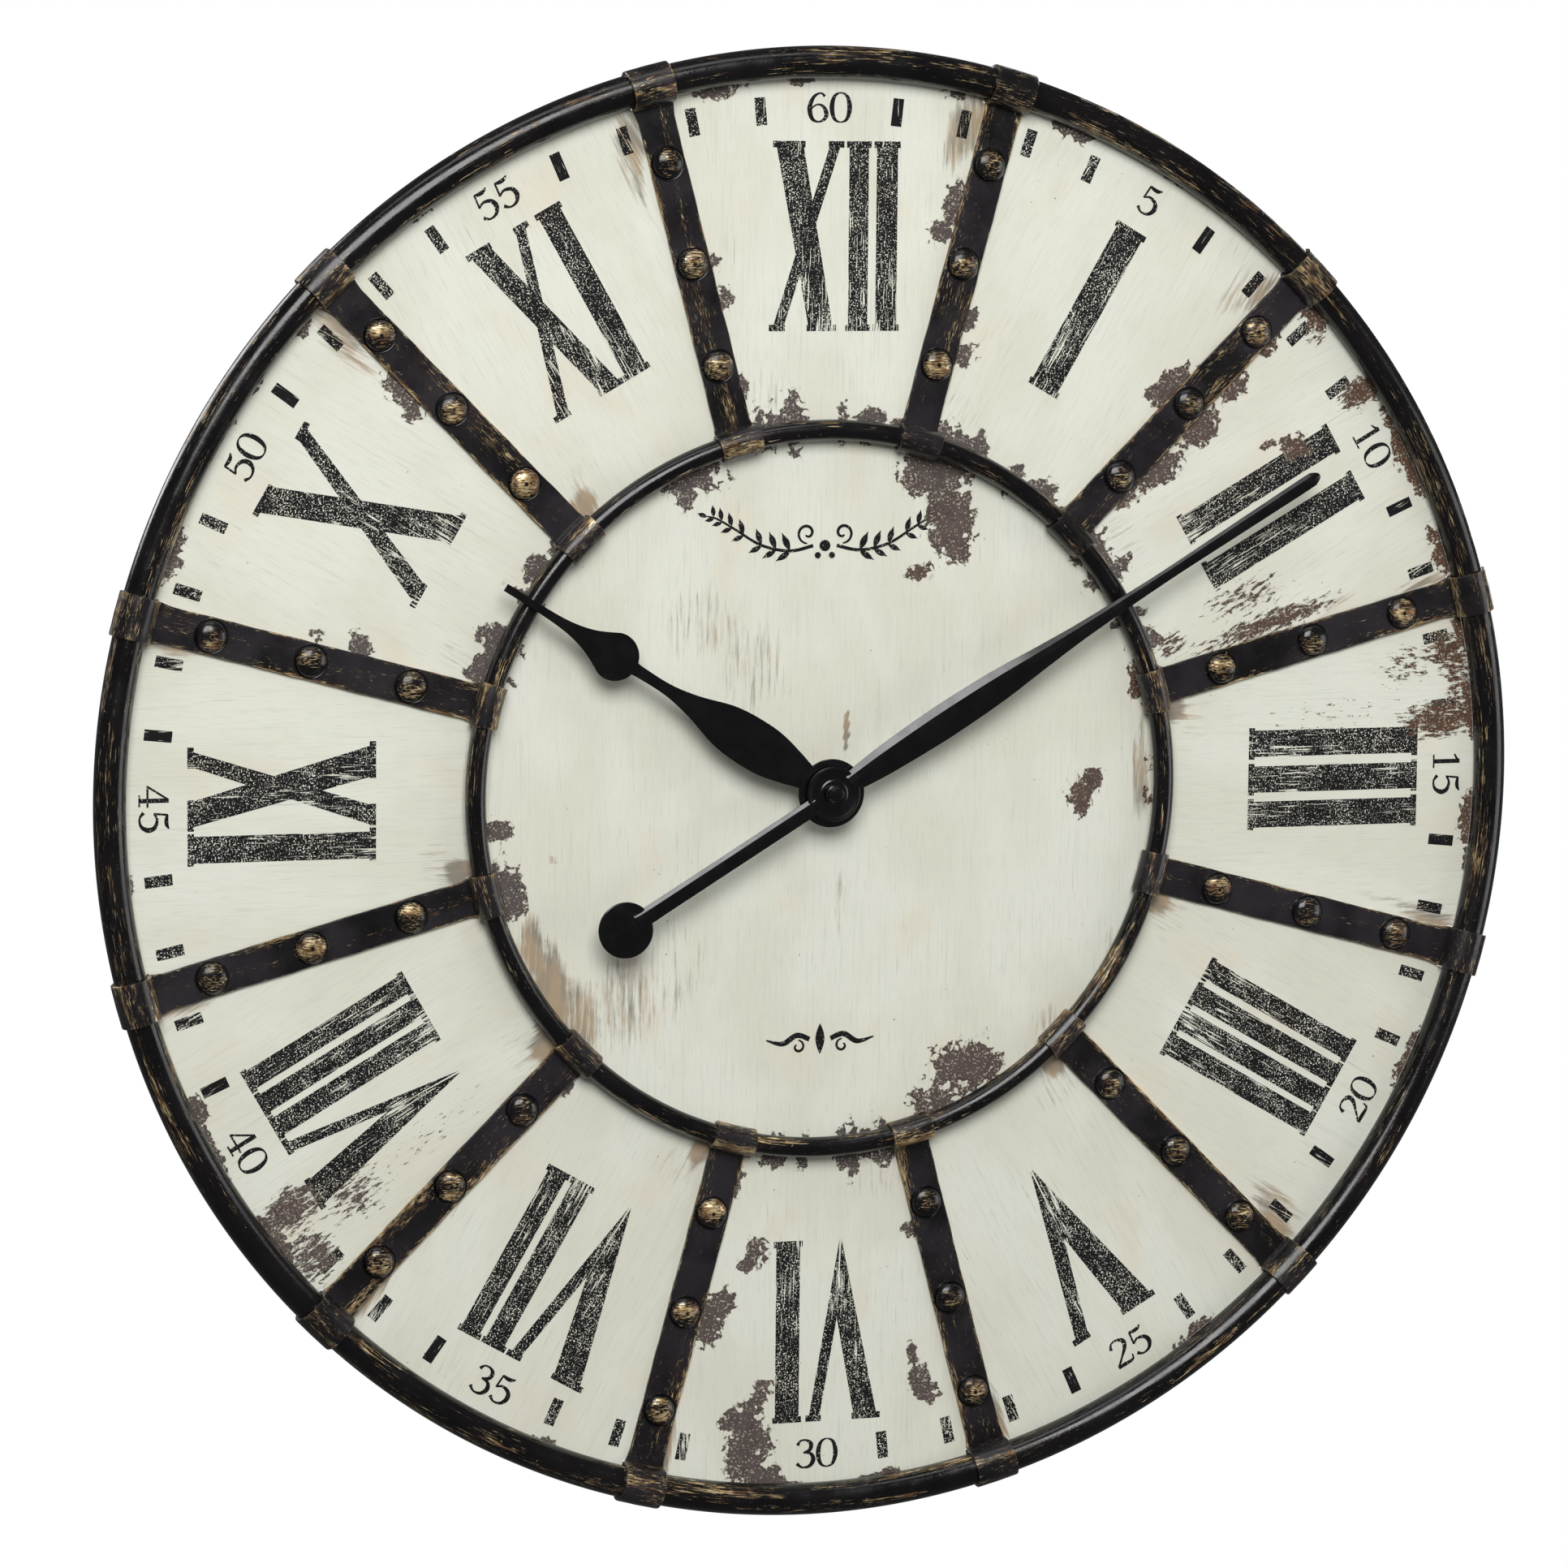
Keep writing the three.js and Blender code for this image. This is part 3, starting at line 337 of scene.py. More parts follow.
def worn_steel(name, dark, pale, bronze, across, along, worn, rough, crown=0.15):
    """Black-lacquered steel, rubbed through to bronze in streaks along the piece and at its edges."""
    s = Shade(name, IOR=1.42, Coat_Weight=0.2, Coat_Roughness=0.13)
    run = s.attribute("run")
    point = s.place()
    edge = s.attribute("edge", s.FACTOR)
    region = s.noise(run, (60, 7, 7), 3, 0.6)
    wear = s.plus(s.noise(run, (along, across, across), 5, 0.72), s.times(s.minus(region, 0.5), 0.66))
    wear = s.band(s.plus(wear, s.times(edge, crown)), worn, worn + 0.07)
    chips = s.plus(s.noise(point, 1.5, 3, 0.7), s.times(edge, 0.05))
    chips = s.times(s.band(chips, 0.69, 0.72), s.band(region, 0.42, 0.6))
    wear = s.larger(wear, chips)
    soot = s.mix(s.band(s.noise(point, 30, 4), 0.35, 0.65), dark, pale)
    metal = s.mix(s.band(s.noise(run, (4, 0.8, 0.8), 3), 0.4, 0.6), bronze, BRONZE_BRIGHT)
    metal = s.mix(s.band(s.noise(point, 7), 0.45, 0.65, 0, 0.85), metal, BRONZE_DEEP)
    s.set(Base_Color=s.mix(wear, soot, metal), Metallic=s.times(wear, 0.45))
    smudge = s.band(s.noise(point, 12, 4, 0.6), 0.3, 0.7, rough - 0.07, rough + 0.1)
    s.set(Roughness=s.plus(smudge, s.times(wear, 0.12)))
    pits = s.plus(s.noise(point, 2.4, 4, 0.6), s.times(s.noise(point, 0.9), 0.5))
    s.bump(s.minus(pits, wear), 0.08, 0.8)
    return s.material


def hand_lacquer():
    s = Shade("hand_lacquer", IOR=1.45, Coat_Weight=0.2, Coat_Roughness=0.14)
    point = s.place()
    colour = s.mix(s.noise(point, 18, 3), srgb(2, 2, 3), INK_DARK)
    s.set(Base_Color=colour, Roughness=s.band(s.noise(point, 7, 4), 0.3, 0.7, 0.2, 0.3))
    s.bump(s.noise(point, 1.1, 3), 0.012, 0.5)
    return s.material


def moulded(name, low, high, grain, rough, depth=0.03, metal=0.0, brushed=False):
    """Plain stock with its own fine texture: plastic, rubber, plated steel, brass or laminate."""
    s = Shade(name, Metallic=metal)
    point = s.place()
    long = grain * 14
    mottle = s.noise(point, long, 3)
    fine = s.noise(point, (long, grain, grain) if brushed else grain, 4, 0.65)
    colour = s.mix(s.plus(s.times(fine, 0.6), s.times(mottle, 0.4)), low, high)
    s.set(Base_Color=colour, Roughness=s.band(fine, 0.3, 0.7, rough - 0.07, rough + 0.09))
    s.bump(fine, depth, 0.6)
    return s.material


def fibreboard():
    s = Shade("fibreboard_back", Roughness=0.85)
    point = s.place()
    fibre = s.noise(point, (1.1, 1.1, 0.5), 6, 0.8)
    colour = s.mix(s.band(fibre, 0.3, 0.7), srgb(134, 103, 72), srgb(176, 144, 108))
    colour = s.mix(s.band(s.noise(point, 40, 3), 0.35, 0.75, 0, 0.22), colour, srgb(126, 96, 68))
    s.set(Base_Color=colour)
    s.bump(fibre, 0.08, 0.8)
    return s.material


WIRE_PITCH = 0.35


def wound_wire():
    """Enamelled wire, its turns side by side along x."""
    s = Shade("enamelled_wire", Metallic=0.7, Roughness=0.32)
    turns = s.math("SINE", s.times(s.part(s.place(), 0), TURN / WIRE_PITCH))
    s.set(Base_Color=s.mix(s.band(turns, -1, 1), srgb(110, 46, 20), srgb(214, 122, 66)))
    s.bump(turns, 0.06, 0.8)
    return s.material


def cell_sleeve(low, high):
    """A battery's printed sleeve: plain slate with a pale shoulder at one end, and bare steel ends."""
    s = Shade("cell_sleeve")
    point = s.place()
    run = s.part(point, 0)
    length = high - low
    shoulder = s.band(run, low + 0.84 * length, low + 0.845 * length)
    colour = s.mix(shoulder, srgb(62, 70, 78), srgb(186, 188, 186))
    end = s.larger(s.band(run, low + 1.2, low + 1.0), s.band(run, high - 2.2, high - 2.0))
    colour = s.mix(end, colour, srgb(190, 190, 186))
    scuff = s.band(s.noise(point, (9, 0.8, 0.8), 4, 0.7), 0.62, 0.72, 0, 0.3)
    colour = s.mix(scuff, colour, srgb(150, 146, 140))
    s.set(Base_Color=colour, Metallic=s.larger(end, s.times(shoulder, 0.4)))
    s.set(Roughness=s.band(s.noise(point, 2, 3), 0.3, 0.7, 0.28, 0.42))
    return s.material


PAINT = dial_paint()
NUMERAL_INK = dial_ink("numeral_ink", 0.585, 0.655)
FIGURE_INK = dial_ink("figure_ink", 0.645, 0.80)
TICK_SPECKLED = dial_ink("tick_ink_speckled", 0.575, 0.64)
TICK_SOLID = dial_ink("tick_ink_solid", 0.70, 0.62)
TICK_ERODED = dial_ink("tick_ink_eroded", 0.61, 0.57)
FIBREBOARD = fibreboard()
RING_STEEL = worn_steel("ring_lacquer", SOOT, srgb(18, 15, 17), BRONZE, 0.46, 10, 0.617, 0.19)
STRAP_STEEL = worn_steel("strap_lacquer", srgb(15, 13, 15), srgb(42, 38, 42), BRONZE, 0.36, 4.5,
                         0.625, 0.28, 0.11)
RIVET_STEEL = worn_steel("rivet_lacquer", SOOT, srgb(20, 18, 20), srgb(150, 116, 70), 0.5, 3.6,
                         0.74, 0.19, 0.27)
LACQUER = hand_lacquer()
ZINC = moulded("zinc_plate", srgb(150, 152, 150), srgb(196, 197, 192), 0.5, 0.38, 0.015, 0.9, True)
CASE = moulded("moulded_black_plastic", srgb(17, 17, 18), srgb(38, 38, 40), 0.45, 0.5, 0.05)
WHEEL = moulded("acetal_wheel", srgb(214, 212, 200), srgb(238, 236, 226), 0.4, 0.42, 0.02)
BRASS = moulded("turned_brass", srgb(160, 122, 52), srgb(212, 176, 96), 0.3, 0.3, 0.012, 0.95, True)
RUBBER = moulded("black_rubber", srgb(20, 20, 20), srgb(44, 43, 42), 0.7, 0.75, 0.06)
LAMINATE = moulded("green_laminate", srgb(24, 72, 42), srgb(48, 112, 66), 0.5, 0.4, 0.02)
WIRE = wound_wire()


# ---------------------------------------------------------------- mesh tools
SHARP = 38
BREAK_ANGLE = math.radians(35)


@contextmanager
def editing(mesh):
    work = bmesh.new()
    work.from_mesh(mesh)
    yield work
    work.to_mesh(mesh)
    work.free()


def add_object(name, data):
    made = bpy.data.objects.new(name, data)
    bpy.context.scene.collection.objects.link(made)
    return made


def write_attribute(mesh, name, values, domain="POINT"):
    """Writes one number, or three, for each point or corner of a mesh."""
    values = np.asarray(values, np.float32)
    kind, key = ("FLOAT_VECTOR", "vector") if values.ndim == 2 else ("FLOAT", "value")
    mesh.attributes.new(name, kind, domain).data.foreach_set(key, values.ravel())


def finish_mesh(name, mesh, materials, body="clock", replaced=(), sharp=SHARP):
    with editing(mesh) as work:
        bmesh.ops.recalc_face_normals(work, faces=work.faces)
    for material in materials:
        mesh.materials.append(material)
    mesh.shade_smooth()
    mesh.set_sharp_from_angle(angle=math.radians(sharp))
    piece = add_object(name, mesh)
    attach(piece, body)
    if replaced:
        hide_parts(*replaced)
    return piece


class Shape:
    """Collects closed bodies as points (x, h, z) in millimetres, faces, and per-point values."""

    def __init__(self):
        self.points = []
        self.faces = []
        self.run = []
        self.edge = []

    def body(self, points, faces, run=None, edge=None):
        start = len(self.points)
        self.points += points
        self.faces += [tuple(start + i for i in face) for face in faces]
        self.run += run or [(x, z, h) for x, h, z in points]
        self.edge += edge or [0.0] * len(points)

    def grid(self, rows, run=None, edge=None, closed=False):
        """Skins rows of equally many points, each a loop; the end rows are capped, or joined if closed."""
        count = len(rows[0])
        points = [p for row in rows for p in row]
        faces = []
        for i in range(len(rows) if closed else len(rows) - 1):
            here = i * count
            there = ((i + 1) % len(rows)) * count
            for j in range(count):
                k = (j + 1) % count
                faces.append((here + j, here + k, there + k, there + j))
        if not closed:
            faces.append(tuple(range(count)))
            faces.append(tuple(len(points) - count + j for j in reversed(range(count))))
        self.body(points, faces, run, edge)

    def make(self, name, material, slot, body="clock", replaced=(), sharp=SHARP):
        mesh = bpy.data.meshes.new(name)
        mesh.from_pydata([place(*p) for p in self.points], [], self.faces)
        write_attribute(mesh, "edge", self.edge)
        write_attribute(mesh, "run", self.run)
        return finish_mesh(name, mesh, [material], body, replaced, sharp)


def softened(piece, width, segments):
    """Bevels a piece's sharp edges by a width in millimetres, and applies the bevel to its mesh."""
    bevel = piece.modifiers.new("bevel", "BEVEL")
    bevel.width = width * MM
    bevel.segments = segments
    bevel.limit_method = "ANGLE"
    bevel.angle_limit = BREAK_ANGLE
    bevel.harden_normals = True
    bpy.context.view_layer.update()
    done = piece.evaluated_get(bpy.context.evaluated_depsgraph_get())
    done = bpy.data.meshes.new_from_object(done)
    piece.modifiers.clear()
    piece.data = done


def spline(a, b, c, d, t):
    """A smooth step from b, at t = 0, to c, at t = 1, with neighbours a and d."""
    bend = 2 * a - 5 * b + 4 * c - d
    twist = 3 * b - a - 3 * c + d
    return 0.5 * (2 * b + (c - a) * t + bend * t ** 2 + twist * t ** 3)


def curve(points, steps=6, closed=False):
    """A smooth line of any number of coordinates through the points."""
    count = len(points)
    line = []
    for i in range(count if closed else count - 1):
        if closed:
            near = [points[(i + k) % count] for k in (-1, 0, 1, 2)]
        else:
            near = [points[min(max(i + k, 0), count - 1)] for k in (-1, 0, 1, 2)]
        for step in range(steps):
            line.append(tuple(spline(*values, step / steps) for values in zip(*near)))
    if not closed:
        line.append(tuple(points[-1]))
    return line


def slab(shape, corners, low, high, across, along):
    """A flat four-cornered plate as a fine grid; its corners follow each other round, near edge first."""
    (ax, az), (bx, bz), (cx, cz), (dx, dz) = corners
    rows = []
    for i in range(along + 1):
        t = i / along
        front, back = [], []
        for j in range(across + 1):
            w = j / across
            x = (1 - t) * ((1 - w) * ax + w * bx) + t * ((1 - w) * dx + w * cx)
            z = (1 - t) * ((1 - w) * az + w * bz) + t * ((1 - w) * dz + w * cz)
            front.append((x, high, z))
            back.append((x, low, z))
        rows.append(front + back[::-1])
    shape.grid(rows)


def ribbon(shape, line, low, high, closed=False):
    """A flat pen stroke: the line's points are (x, z, width)."""
    rows = []
    count = len(line)
    for i, (x, z, width) in enumerate(line):
        before = line[i - 1] if i or closed else line[i]
        after = line[(i + 1) % count] if i < count - 1 or closed else line[i]
        dx, dz = after[0] - before[0], after[1] - before[1]
        size = math.hypot(dx, dz) or 1.0
        nx, nz = -dz / size * width / 2, dx / size * width / 2
        left = (x + nx, z + nz)
        right = (x - nx, z - nz)
        rows.append([(u, h, v) for h, (u, v) in ((high, left), (high, right), (low, right), (low, left))])
    shape.grid(rows, closed=closed)


def lathe(shape, profile, turns, x=0.0, z=0.0, edge=None):
    """A turned body about a line along h: profile points are (radius, h), its two ends on the axis."""
    (_, first), *rings, (_, last) = profile
    points = [(x, first, z)]
    run = [(0.0, 0.0, first)]
    for radius, h in rings:
        for j in range(turns):
            a = TURN * j / turns
            points.append((x + radius * math.sin(a), h, z + radius * math.cos(a)))
            run.append((x + radius * math.sin(a), z + radius * math.cos(a), h))
    points.append((x, last, z))
    run.append((0.0, 0.0, last))
    marks = edge or [0.0] * len(profile)
    marks = [0.0] + [mark for mark in marks[1:-1] for _ in range(turns)] + [0.0]
    faces = []
    tip = len(points) - 1
    outer = 1 + (len(rings) - 1) * turns
    for base in range(1, outer, turns):
        for j in range(turns):
            k = (j + 1) % turns
            faces.append((base + j, base + k, base + turns + k, base + turns + j))
    for j in range(turns):
        k = (j + 1) % turns
        faces.append((0, 1 + k, 1 + j))
        faces.append((tip, outer + j, outer + k))
    shape.body(points, faces, run, marks)


# ---------------------------------------------------------------- dial: wear maps
# Marks on the dial are placed by clock angle in degrees and radius; with an angle of None, by x and z.
# Worn patches: (angle, radius, half-width, half-height, brownness).
PATCHES = [
    (-9.0, 287, 10, 4.5, 0.1), (-2.2, 288, 7, 3.2, 0.1), (10.6, 287, 5, 4, 0.1), (12.9, 243, 5.5, 9, 0.15),
    (12.2, 231, 6, 5, 0.15), (-12.7, 219, 3, 3.5, 0.1), (-12.3, 204, 5, 5.5, 0.1), (-12.4, 168, 3, 6, 0.1),
    (21.0, 287, 10, 4.5, 0.15), (18.2, 186, 5.5, 5, 0.1), (17.8, 200, 3, 5, 0.1), (42.7, 222, 7, 9, 0.3),
    (41.8, 214, 5, 5, 0.3), (30, 289, 14, 2, 0.2), (46.9, 262, 4, 6, 0.7), (47.3, 239, 5, 8, 0.4),
    (48.0, 217, 6.5, 11, 0.35), (48.1, 194, 6.5, 13, 0.3), (47.8, 174, 4, 6, 0.3), (48.2, 285, 7, 5, 0.75),
    (61.8, 287.5, 24, 3.6, 0.85), (62.5, 286, 8, 5, 0.9), (70.6, 286.5, 10, 5, 0.9), (56.2, 246, 5, 7, 0.6),
    (54.3, 235, 2.4, 4.5, 0.6), (55.4, 285, 5, 5, 0.85), (94.0, 287, 13, 5, 0.7), (97, 288.5, 8, 2.5, 0.6),
    (115, 288, 13, 3.8, 0.5), (144.5, 288, 10, 3.8, 0.35), (174, 288.5, 10, 3.2, 0.2),
    (186.4, 272, 8.5, 15, 0.12), (187.5, 262, 7, 7, 0.12), (185.6, 252, 3, 7, 0.12), (184.5, 285, 8, 5, 0.12),
    (185.3, 246.5, 4, 2.8, 0.2), (192.3, 223, 6.5, 9.5, 0.15), (190.9, 213, 5, 5, 0.15),
    (188.0, 192, 5.5, 5.5, 0.15), (189.1, 197.5, 3.5, 3, 0.15), (169.6, 252, 5, 8.5, 0.15),
    (170.1, 239, 2.2, 6, 0.2), (168.7, 259, 4, 3, 0.2), (167.6, 188, 4, 4.5, 0.1), (192.3, 163, 3, 7, 0.1),
    (182, 289, 8, 2.5, 0.2), (203.7, 288.5, 7, 3, 0.2), (222.6, 160, 3, 5, 0.2),
    (242.0, 288.5, 19, 3.6, 0.15), (245.2, 286, 6, 4.5, 0.15), (264, 288, 6, 3, 0.15),
    (290.4, 287, 12, 5, 0.1), (302, 288.5, 4, 3, 0.1), (305.2, 288.5, 4, 3, 0.1), (310.8, 288, 6, 4, 0.15),
    (313.0, 240, 6, 9, 0.1), (312.2, 231, 5, 4.5, 0.1), (287.5, 220, 3, 4, 0.0), (288.0, 203, 5, 5.5, 0.0),
    (324, 288.5, 7, 3.2, 0.15), (333, 289, 6, 2, 0.15), (84, 288, 16, 3.5, 0.9), (232.5, 287, 14, 4, 0.2),
    (78.5, 287, 8, 4, 0.9), (None, -56, 128, 14, 6.5, 0.0), (None, -59, 119, 5, 5, 0.0),
    (None, 46, 131, 14, 14, 0.15), (None, 53, 109, 10, 13, 0.25), (None, 57, 98, 5.5, 6, 0.3),
    (None, 40, 87.5, 5, 3.4, 0.5), (None, 81, 127, 5, 4, 0.1), (None, 95, 118, 5, 4, 0.1),
    (None, 117.5, 1.5, 5, 4, 0.45), (None, 111, -5.5, 5, 5, 0.5), (None, 111, -11.5, 2, 4, 0.5),
    (None, 142.5, 2, 2.6, 20, 0.9), (None, 135, 44, 3, 12, 0.9), (None, -136, -13, 6, 4, 0.1),
    (None, -135, -38, 9.5, 11, 0.0), (None, -131, -45, 6, 5, 0.0), (None, 63, -117, 16, 10, 0.25),
    (None, 52, -131, 11, 7, 0.2), (None, 45, -137, 5, 4, 0.2),
]
# A row of flaked spikes that grows out from under the inner ring: degrees from the hour, half-width, height.
SPIKES = [(-12.0, 3, 5), (-10.8, 3.6, 9.5), (-9.2, 4.5, 7), (-7.6, 5.5, 5.5), (-5.1, 4.4, 11),
          (-3.7, 3.6, 6.5), (2.7, 2.7, 8), (6.3, 4.4, 5), (7.8, 4.6, 7), (11.8, 4, 4)]
SPIKED_HOURS = (0, 1, 2, 6, 10)
SPIKE_ROOT = 149.5
PATCHES += [(hour * SECTOR_DEGREES + turn, SPIKE_ROOT, half, tall, 0.0)
            for hour in SPIKED_HOURS for turn, half, tall in SPIKES]
# Flecked areas: (angle, radius, half-width, half-height, strength, brownness).
FLECKS = [
    (79.5, 279, 11, 13, 1.2, 0.9), (85.3, 273, 11, 24, 1.25, 0.9), (82.5, 283, 24, 9, 1.05, 0.9),
    (83.5, 222, 16, 50, 0.52, 0.9), (80.0, 260, 14, 18, 0.8, 0.9), (55.5, 280, 9, 12, 1.2, 0.8),
    (49.0, 282, 8, 11, 0.9, 0.8), (67.5, 198, 11, 28, 0.86, 0.5), (71.7, 205, 7, 44, 1.2, 0.6),
    (69.5, 161, 8, 9, 1.05, 0.4), (49.0, 176, 10, 14, 0.45, 0.4), (52, 160, 20, 8, 0.35, 0.3),
    (229.3, 279, 15, 14, 1.15, 0.2), (233.7, 274, 11, 18, 1.3, 0.2), (231.0, 250, 15, 20, 0.9, 0.2),
    (230.5, 213, 12, 42, 0.56, 0.2), (186.3, 262, 12, 26, 0.4, 0.2), (169.5, 248, 8, 16, 0.45, 0.2),
    (188, 193, 8, 9, 0.6, 0.2), (None, 112, -3, 12, 11, 0.85, 0.5), (None, 40, 88, 9, 7, 0.7, 0.5),
    (None, 64, -113, 22, 16, 0.72, 0.25), (None, 50, 110, 19, 26, 0.55, 0.25),
    (None, -137, -22, 9, 26, 0.6, 0.1), (None, -56, 122, 18, 12, 0.45, 0.1),
]
# Brown stains and rubbed streaks: (angle, radius, half-width, half-height, strength). Each hour has one
# beside the strap at its rim and a short dash below the numeral; the hours without spikes have one in the
# inner corner.
STAINS = [(hour * SECTOR_DEGREES + 12.9, 277, 3.2, 19, 0.95) for hour in range(HOURS)]
STAINS += [(hour * SECTOR_DEGREES + 2.4, 181, 0.8, 5.5, 1.25) for hour in range(HOURS)]
STAINS += [(hour * SECTOR_DEGREES - 10.9, 155, 7, 8, 1.0) for hour in range(HOURS) if hour not in SPIKED_HOURS]
STAINS += [(hour * SECTOR_DEGREES - 9, 164, 16, 12, 0.42) for hour in range(HOURS)]
STAINS += [
    (11.6, 272, 7, 22, 0.82), (-18.2, 268, 5, 26, 0.80), (312, 266, 7, 26, 0.66), (102.0, 262, 4, 28, 0.6),
    (131.5, 270, 5, 24, 0.7), (41.2, 270, 8, 20, 0.55), (48, 200, 7, 50, 0.5), (72, 220, 7, 40, 0.45),
    (None, -114, -84, 9, 30, 1.05), (None, -104, -92, 14, 24, 0.8), (None, -122, -62, 7, 22, 0.8),
    (None, -82, -84, 18, 26, 0.58), (None, -60, -70, 16, 30, 0.42), (None, 10, 24, 1.6, 11, 1.2),
    (None, 8, -45, 3, 20, 0.5), (None, -52, 70, 26, 22, 0.46), (None, -30, 50, 22, 30, 0.46),
    (None, -112, -25, 2.2, 2.6, 1.1), (None, 100, -100, 12, 14, 0.5), (None, 138, 5, 4, 30, 0.8),
    (None, 126, -70, 5, 12, 0.6),
]


def spread(x, z, angle, radius, high, half_u, half_v):
    """For every point, the distance from a mark's centre as a share of its size: 1 on its edge."""
    turn = 0.0
    cx, cz = radius, high
    if angle is not None:
        turn = math.radians(angle)
        cx, cz = turned(0, radius, turn)
    across = (x - cx) * math.cos(turn) - (z - cz) * math.sin(turn)
    along = (x - cx) * math.sin(turn) + (z - cz) * math.cos(turn)
    return np.sqrt((across / half_u) ** 2 + (along / half_v) ** 2)


def placed(marks):
    """Marks with an angle get a spare value, so that all have the same length."""
    return [(m[0], m[1], 0.0, *m[2:]) if m[0] is not None else m for m in marks]


# The loss where there is no mark near, and the depth in millimetres that a small patch is raised to.
NO_PATCH = -30.0
NO_FLECK = -0.5
FULL_SIZE = 8.0
# The paint's grain starts afresh this far on, in millimetres, for each hour's board.
GRAIN_STEP = 40.0


def wear_maps(piece):
    """Writes the grain, loss and stain attributes that the dial's materials read."""
    mesh = piece.data
    count = len(mesh.vertices)
    flat = np.zeros(count * 3)
    mesh.vertices.foreach_get("co", flat)
    x = (flat[0::3] - AXIS_X) / MM
    z = (flat[2::3] - AXIS_Z) / MM
    patch = np.full(count, NO_PATCH)
    brown = np.zeros(count)
    for *spot, tone in placed(PATCHES):
        small = min(spot[-2:])
        depth = (1 - spread(x, z, *spot)) * small * max(1.0, FULL_SIZE / small)
        brown = np.where(depth > patch, tone, brown)
        patch = np.maximum(patch, depth)
    fleck = np.full(count, NO_FLECK)
    for *spot, strength, tone in placed(FLECKS):
        near = strength * (1.25 - spread(x, z, *spot) ** 2)
        brown = np.where((near > fleck) & (near > 0.0) & (patch < 0.0), tone, brown)
        fleck = np.maximum(fleck, near)
    stain = np.zeros(count)
    for *spot, strength in placed(STAINS):
        near = strength * np.clip(1.2 - spread(x, z, *spot) ** 2, 0, 1)
        stain = np.maximum(stain, near)
    write_attribute(mesh, "loss", np.stack([patch, fleck, brown], 1))
    write_attribute(mesh, "stain", stain)
    corners = np.zeros((len(mesh.loops), 3), np.float32)
    for face in mesh.polygons:
        fx = (face.center.x - AXIS_X) / MM
        fz = (face.center.z - AXIS_Z) / MM
        inside = math.hypot(fx, fz) < INNER_RADIUS
        zone = HOURS if inside else round(math.atan2(fx, fz) / SECTOR) % HOURS
        angle = 0.0 if inside else zone * SECTOR
        for loop in face.loop_indices:
            i = mesh.loops[loop].vertex_index
            corners[loop] = (*turned(x[i], z[i], -angle), GRAIN_STEP * zone)
    write_attribute(mesh, "grain", corners, "CORNER")


# ---------------------------------------------------------------- dial board
# The board's grid has a column a degree. The four columns under each strap end at the notch.
COLUMNS = 360
NOTCH_HALF = 1.78
NOTCH_START, NOTCH_END = 13, 17
RING_PITCH = 4.0
RINGS_INSIDE = 36
RINGS_OUTSIDE = 38


def build_board():
    """The board: a fine polar grid in front, so that wear can be mapped on it, notched for each strap."""
    span = BOARD_NOTCH - INNER_RADIUS
    radii = [BUSH_HOLE] + [RING_PITCH * i for i in range(2, RINGS_INSIDE)] + [INNER_RADIUS]
    radii += [INNER_RADIUS + span * i / RINGS_OUTSIDE for i in range(1, RINGS_OUTSIDE + 1)] + [BOARD_RADIUS]
    back = [BUSH_HOLE, INNER_RADIUS, BOARD_NOTCH, BOARD_RADIUS]
    bearings = [float(j) for j in range(COLUMNS)]
    notched = set()
    for first in range(0, COLUMNS, SECTOR_DEGREES):
        middle = first + SECTOR_DEGREES // 2
        bearings[first + NOTCH_START] = middle - NOTCH_HALF
        bearings[first + NOTCH_END] = middle + NOTCH_HALF
        notched |= set(range(first + NOTCH_START, first + NOTCH_END))
    points = []
    for h, rings in ((0.0, radii), (-BOARD_DEPTH, back)):
        for radius in rings:
            for bearing in bearings:
                a = math.radians(bearing)
                points.append((radius * math.sin(a), h, radius * math.cos(a)))
    behind = len(radii) * COLUMNS
    faces, kinds = [], []

    def face(kind, *indices):
        faces.append(indices)
        kinds.append(kind)

    for j in range(COLUMNS):
        k = (j + 1) % COLUMNS
        cut = j in notched
        for i in range(len(radii) - 1 - cut):
            face(0, i * COLUMNS + j, i * COLUMNS + k, (i + 1) * COLUMNS + k, (i + 1) * COLUMNS + j)
        for i in range(len(back) - 1 - cut):
            row = behind + i * COLUMNS
            face(1, row + j, row + k, row + COLUMNS + k, row + COLUMNS + j)
        face(1, j, k, behind + k, behind + j)
        front_rim = (len(radii) - 1 - cut) * COLUMNS
        back_rim = behind + (len(back) - 1 - cut) * COLUMNS
        face(1, front_rim + j, front_rim + k, back_rim + k, back_rim + j)
        if cut != (k in notched):
            top = (len(radii) - 2) * COLUMNS + k
            low = behind + (len(back) - 2) * COLUMNS + k
            face(1, top, top + COLUMNS, low + COLUMNS, low)
    mesh = bpy.data.meshes.new("dial_board_panel")
    mesh.from_pydata([place(*p) for p in points], [], faces)
    mesh.polygons.foreach_set("material_index", kinds)
    with editing(mesh) as work:
        bmesh.ops.delete(work, geom=[v for v in work.verts if not v.link_faces], context="VERTS")
    board = finish_mesh("dial_board_panel", mesh, [PAINT, FIBREBOARD], replaced=("dial_board",))
    wear_maps(board)


build_board()

# ---------------------------------------------------------------- printed dial
# Each stroke of a print lies a step above the one before, so that no two share a face.
PRINT_LOW = 0.01
PRINT_HIGH = 0.05
PRINT_STEP = 0.004


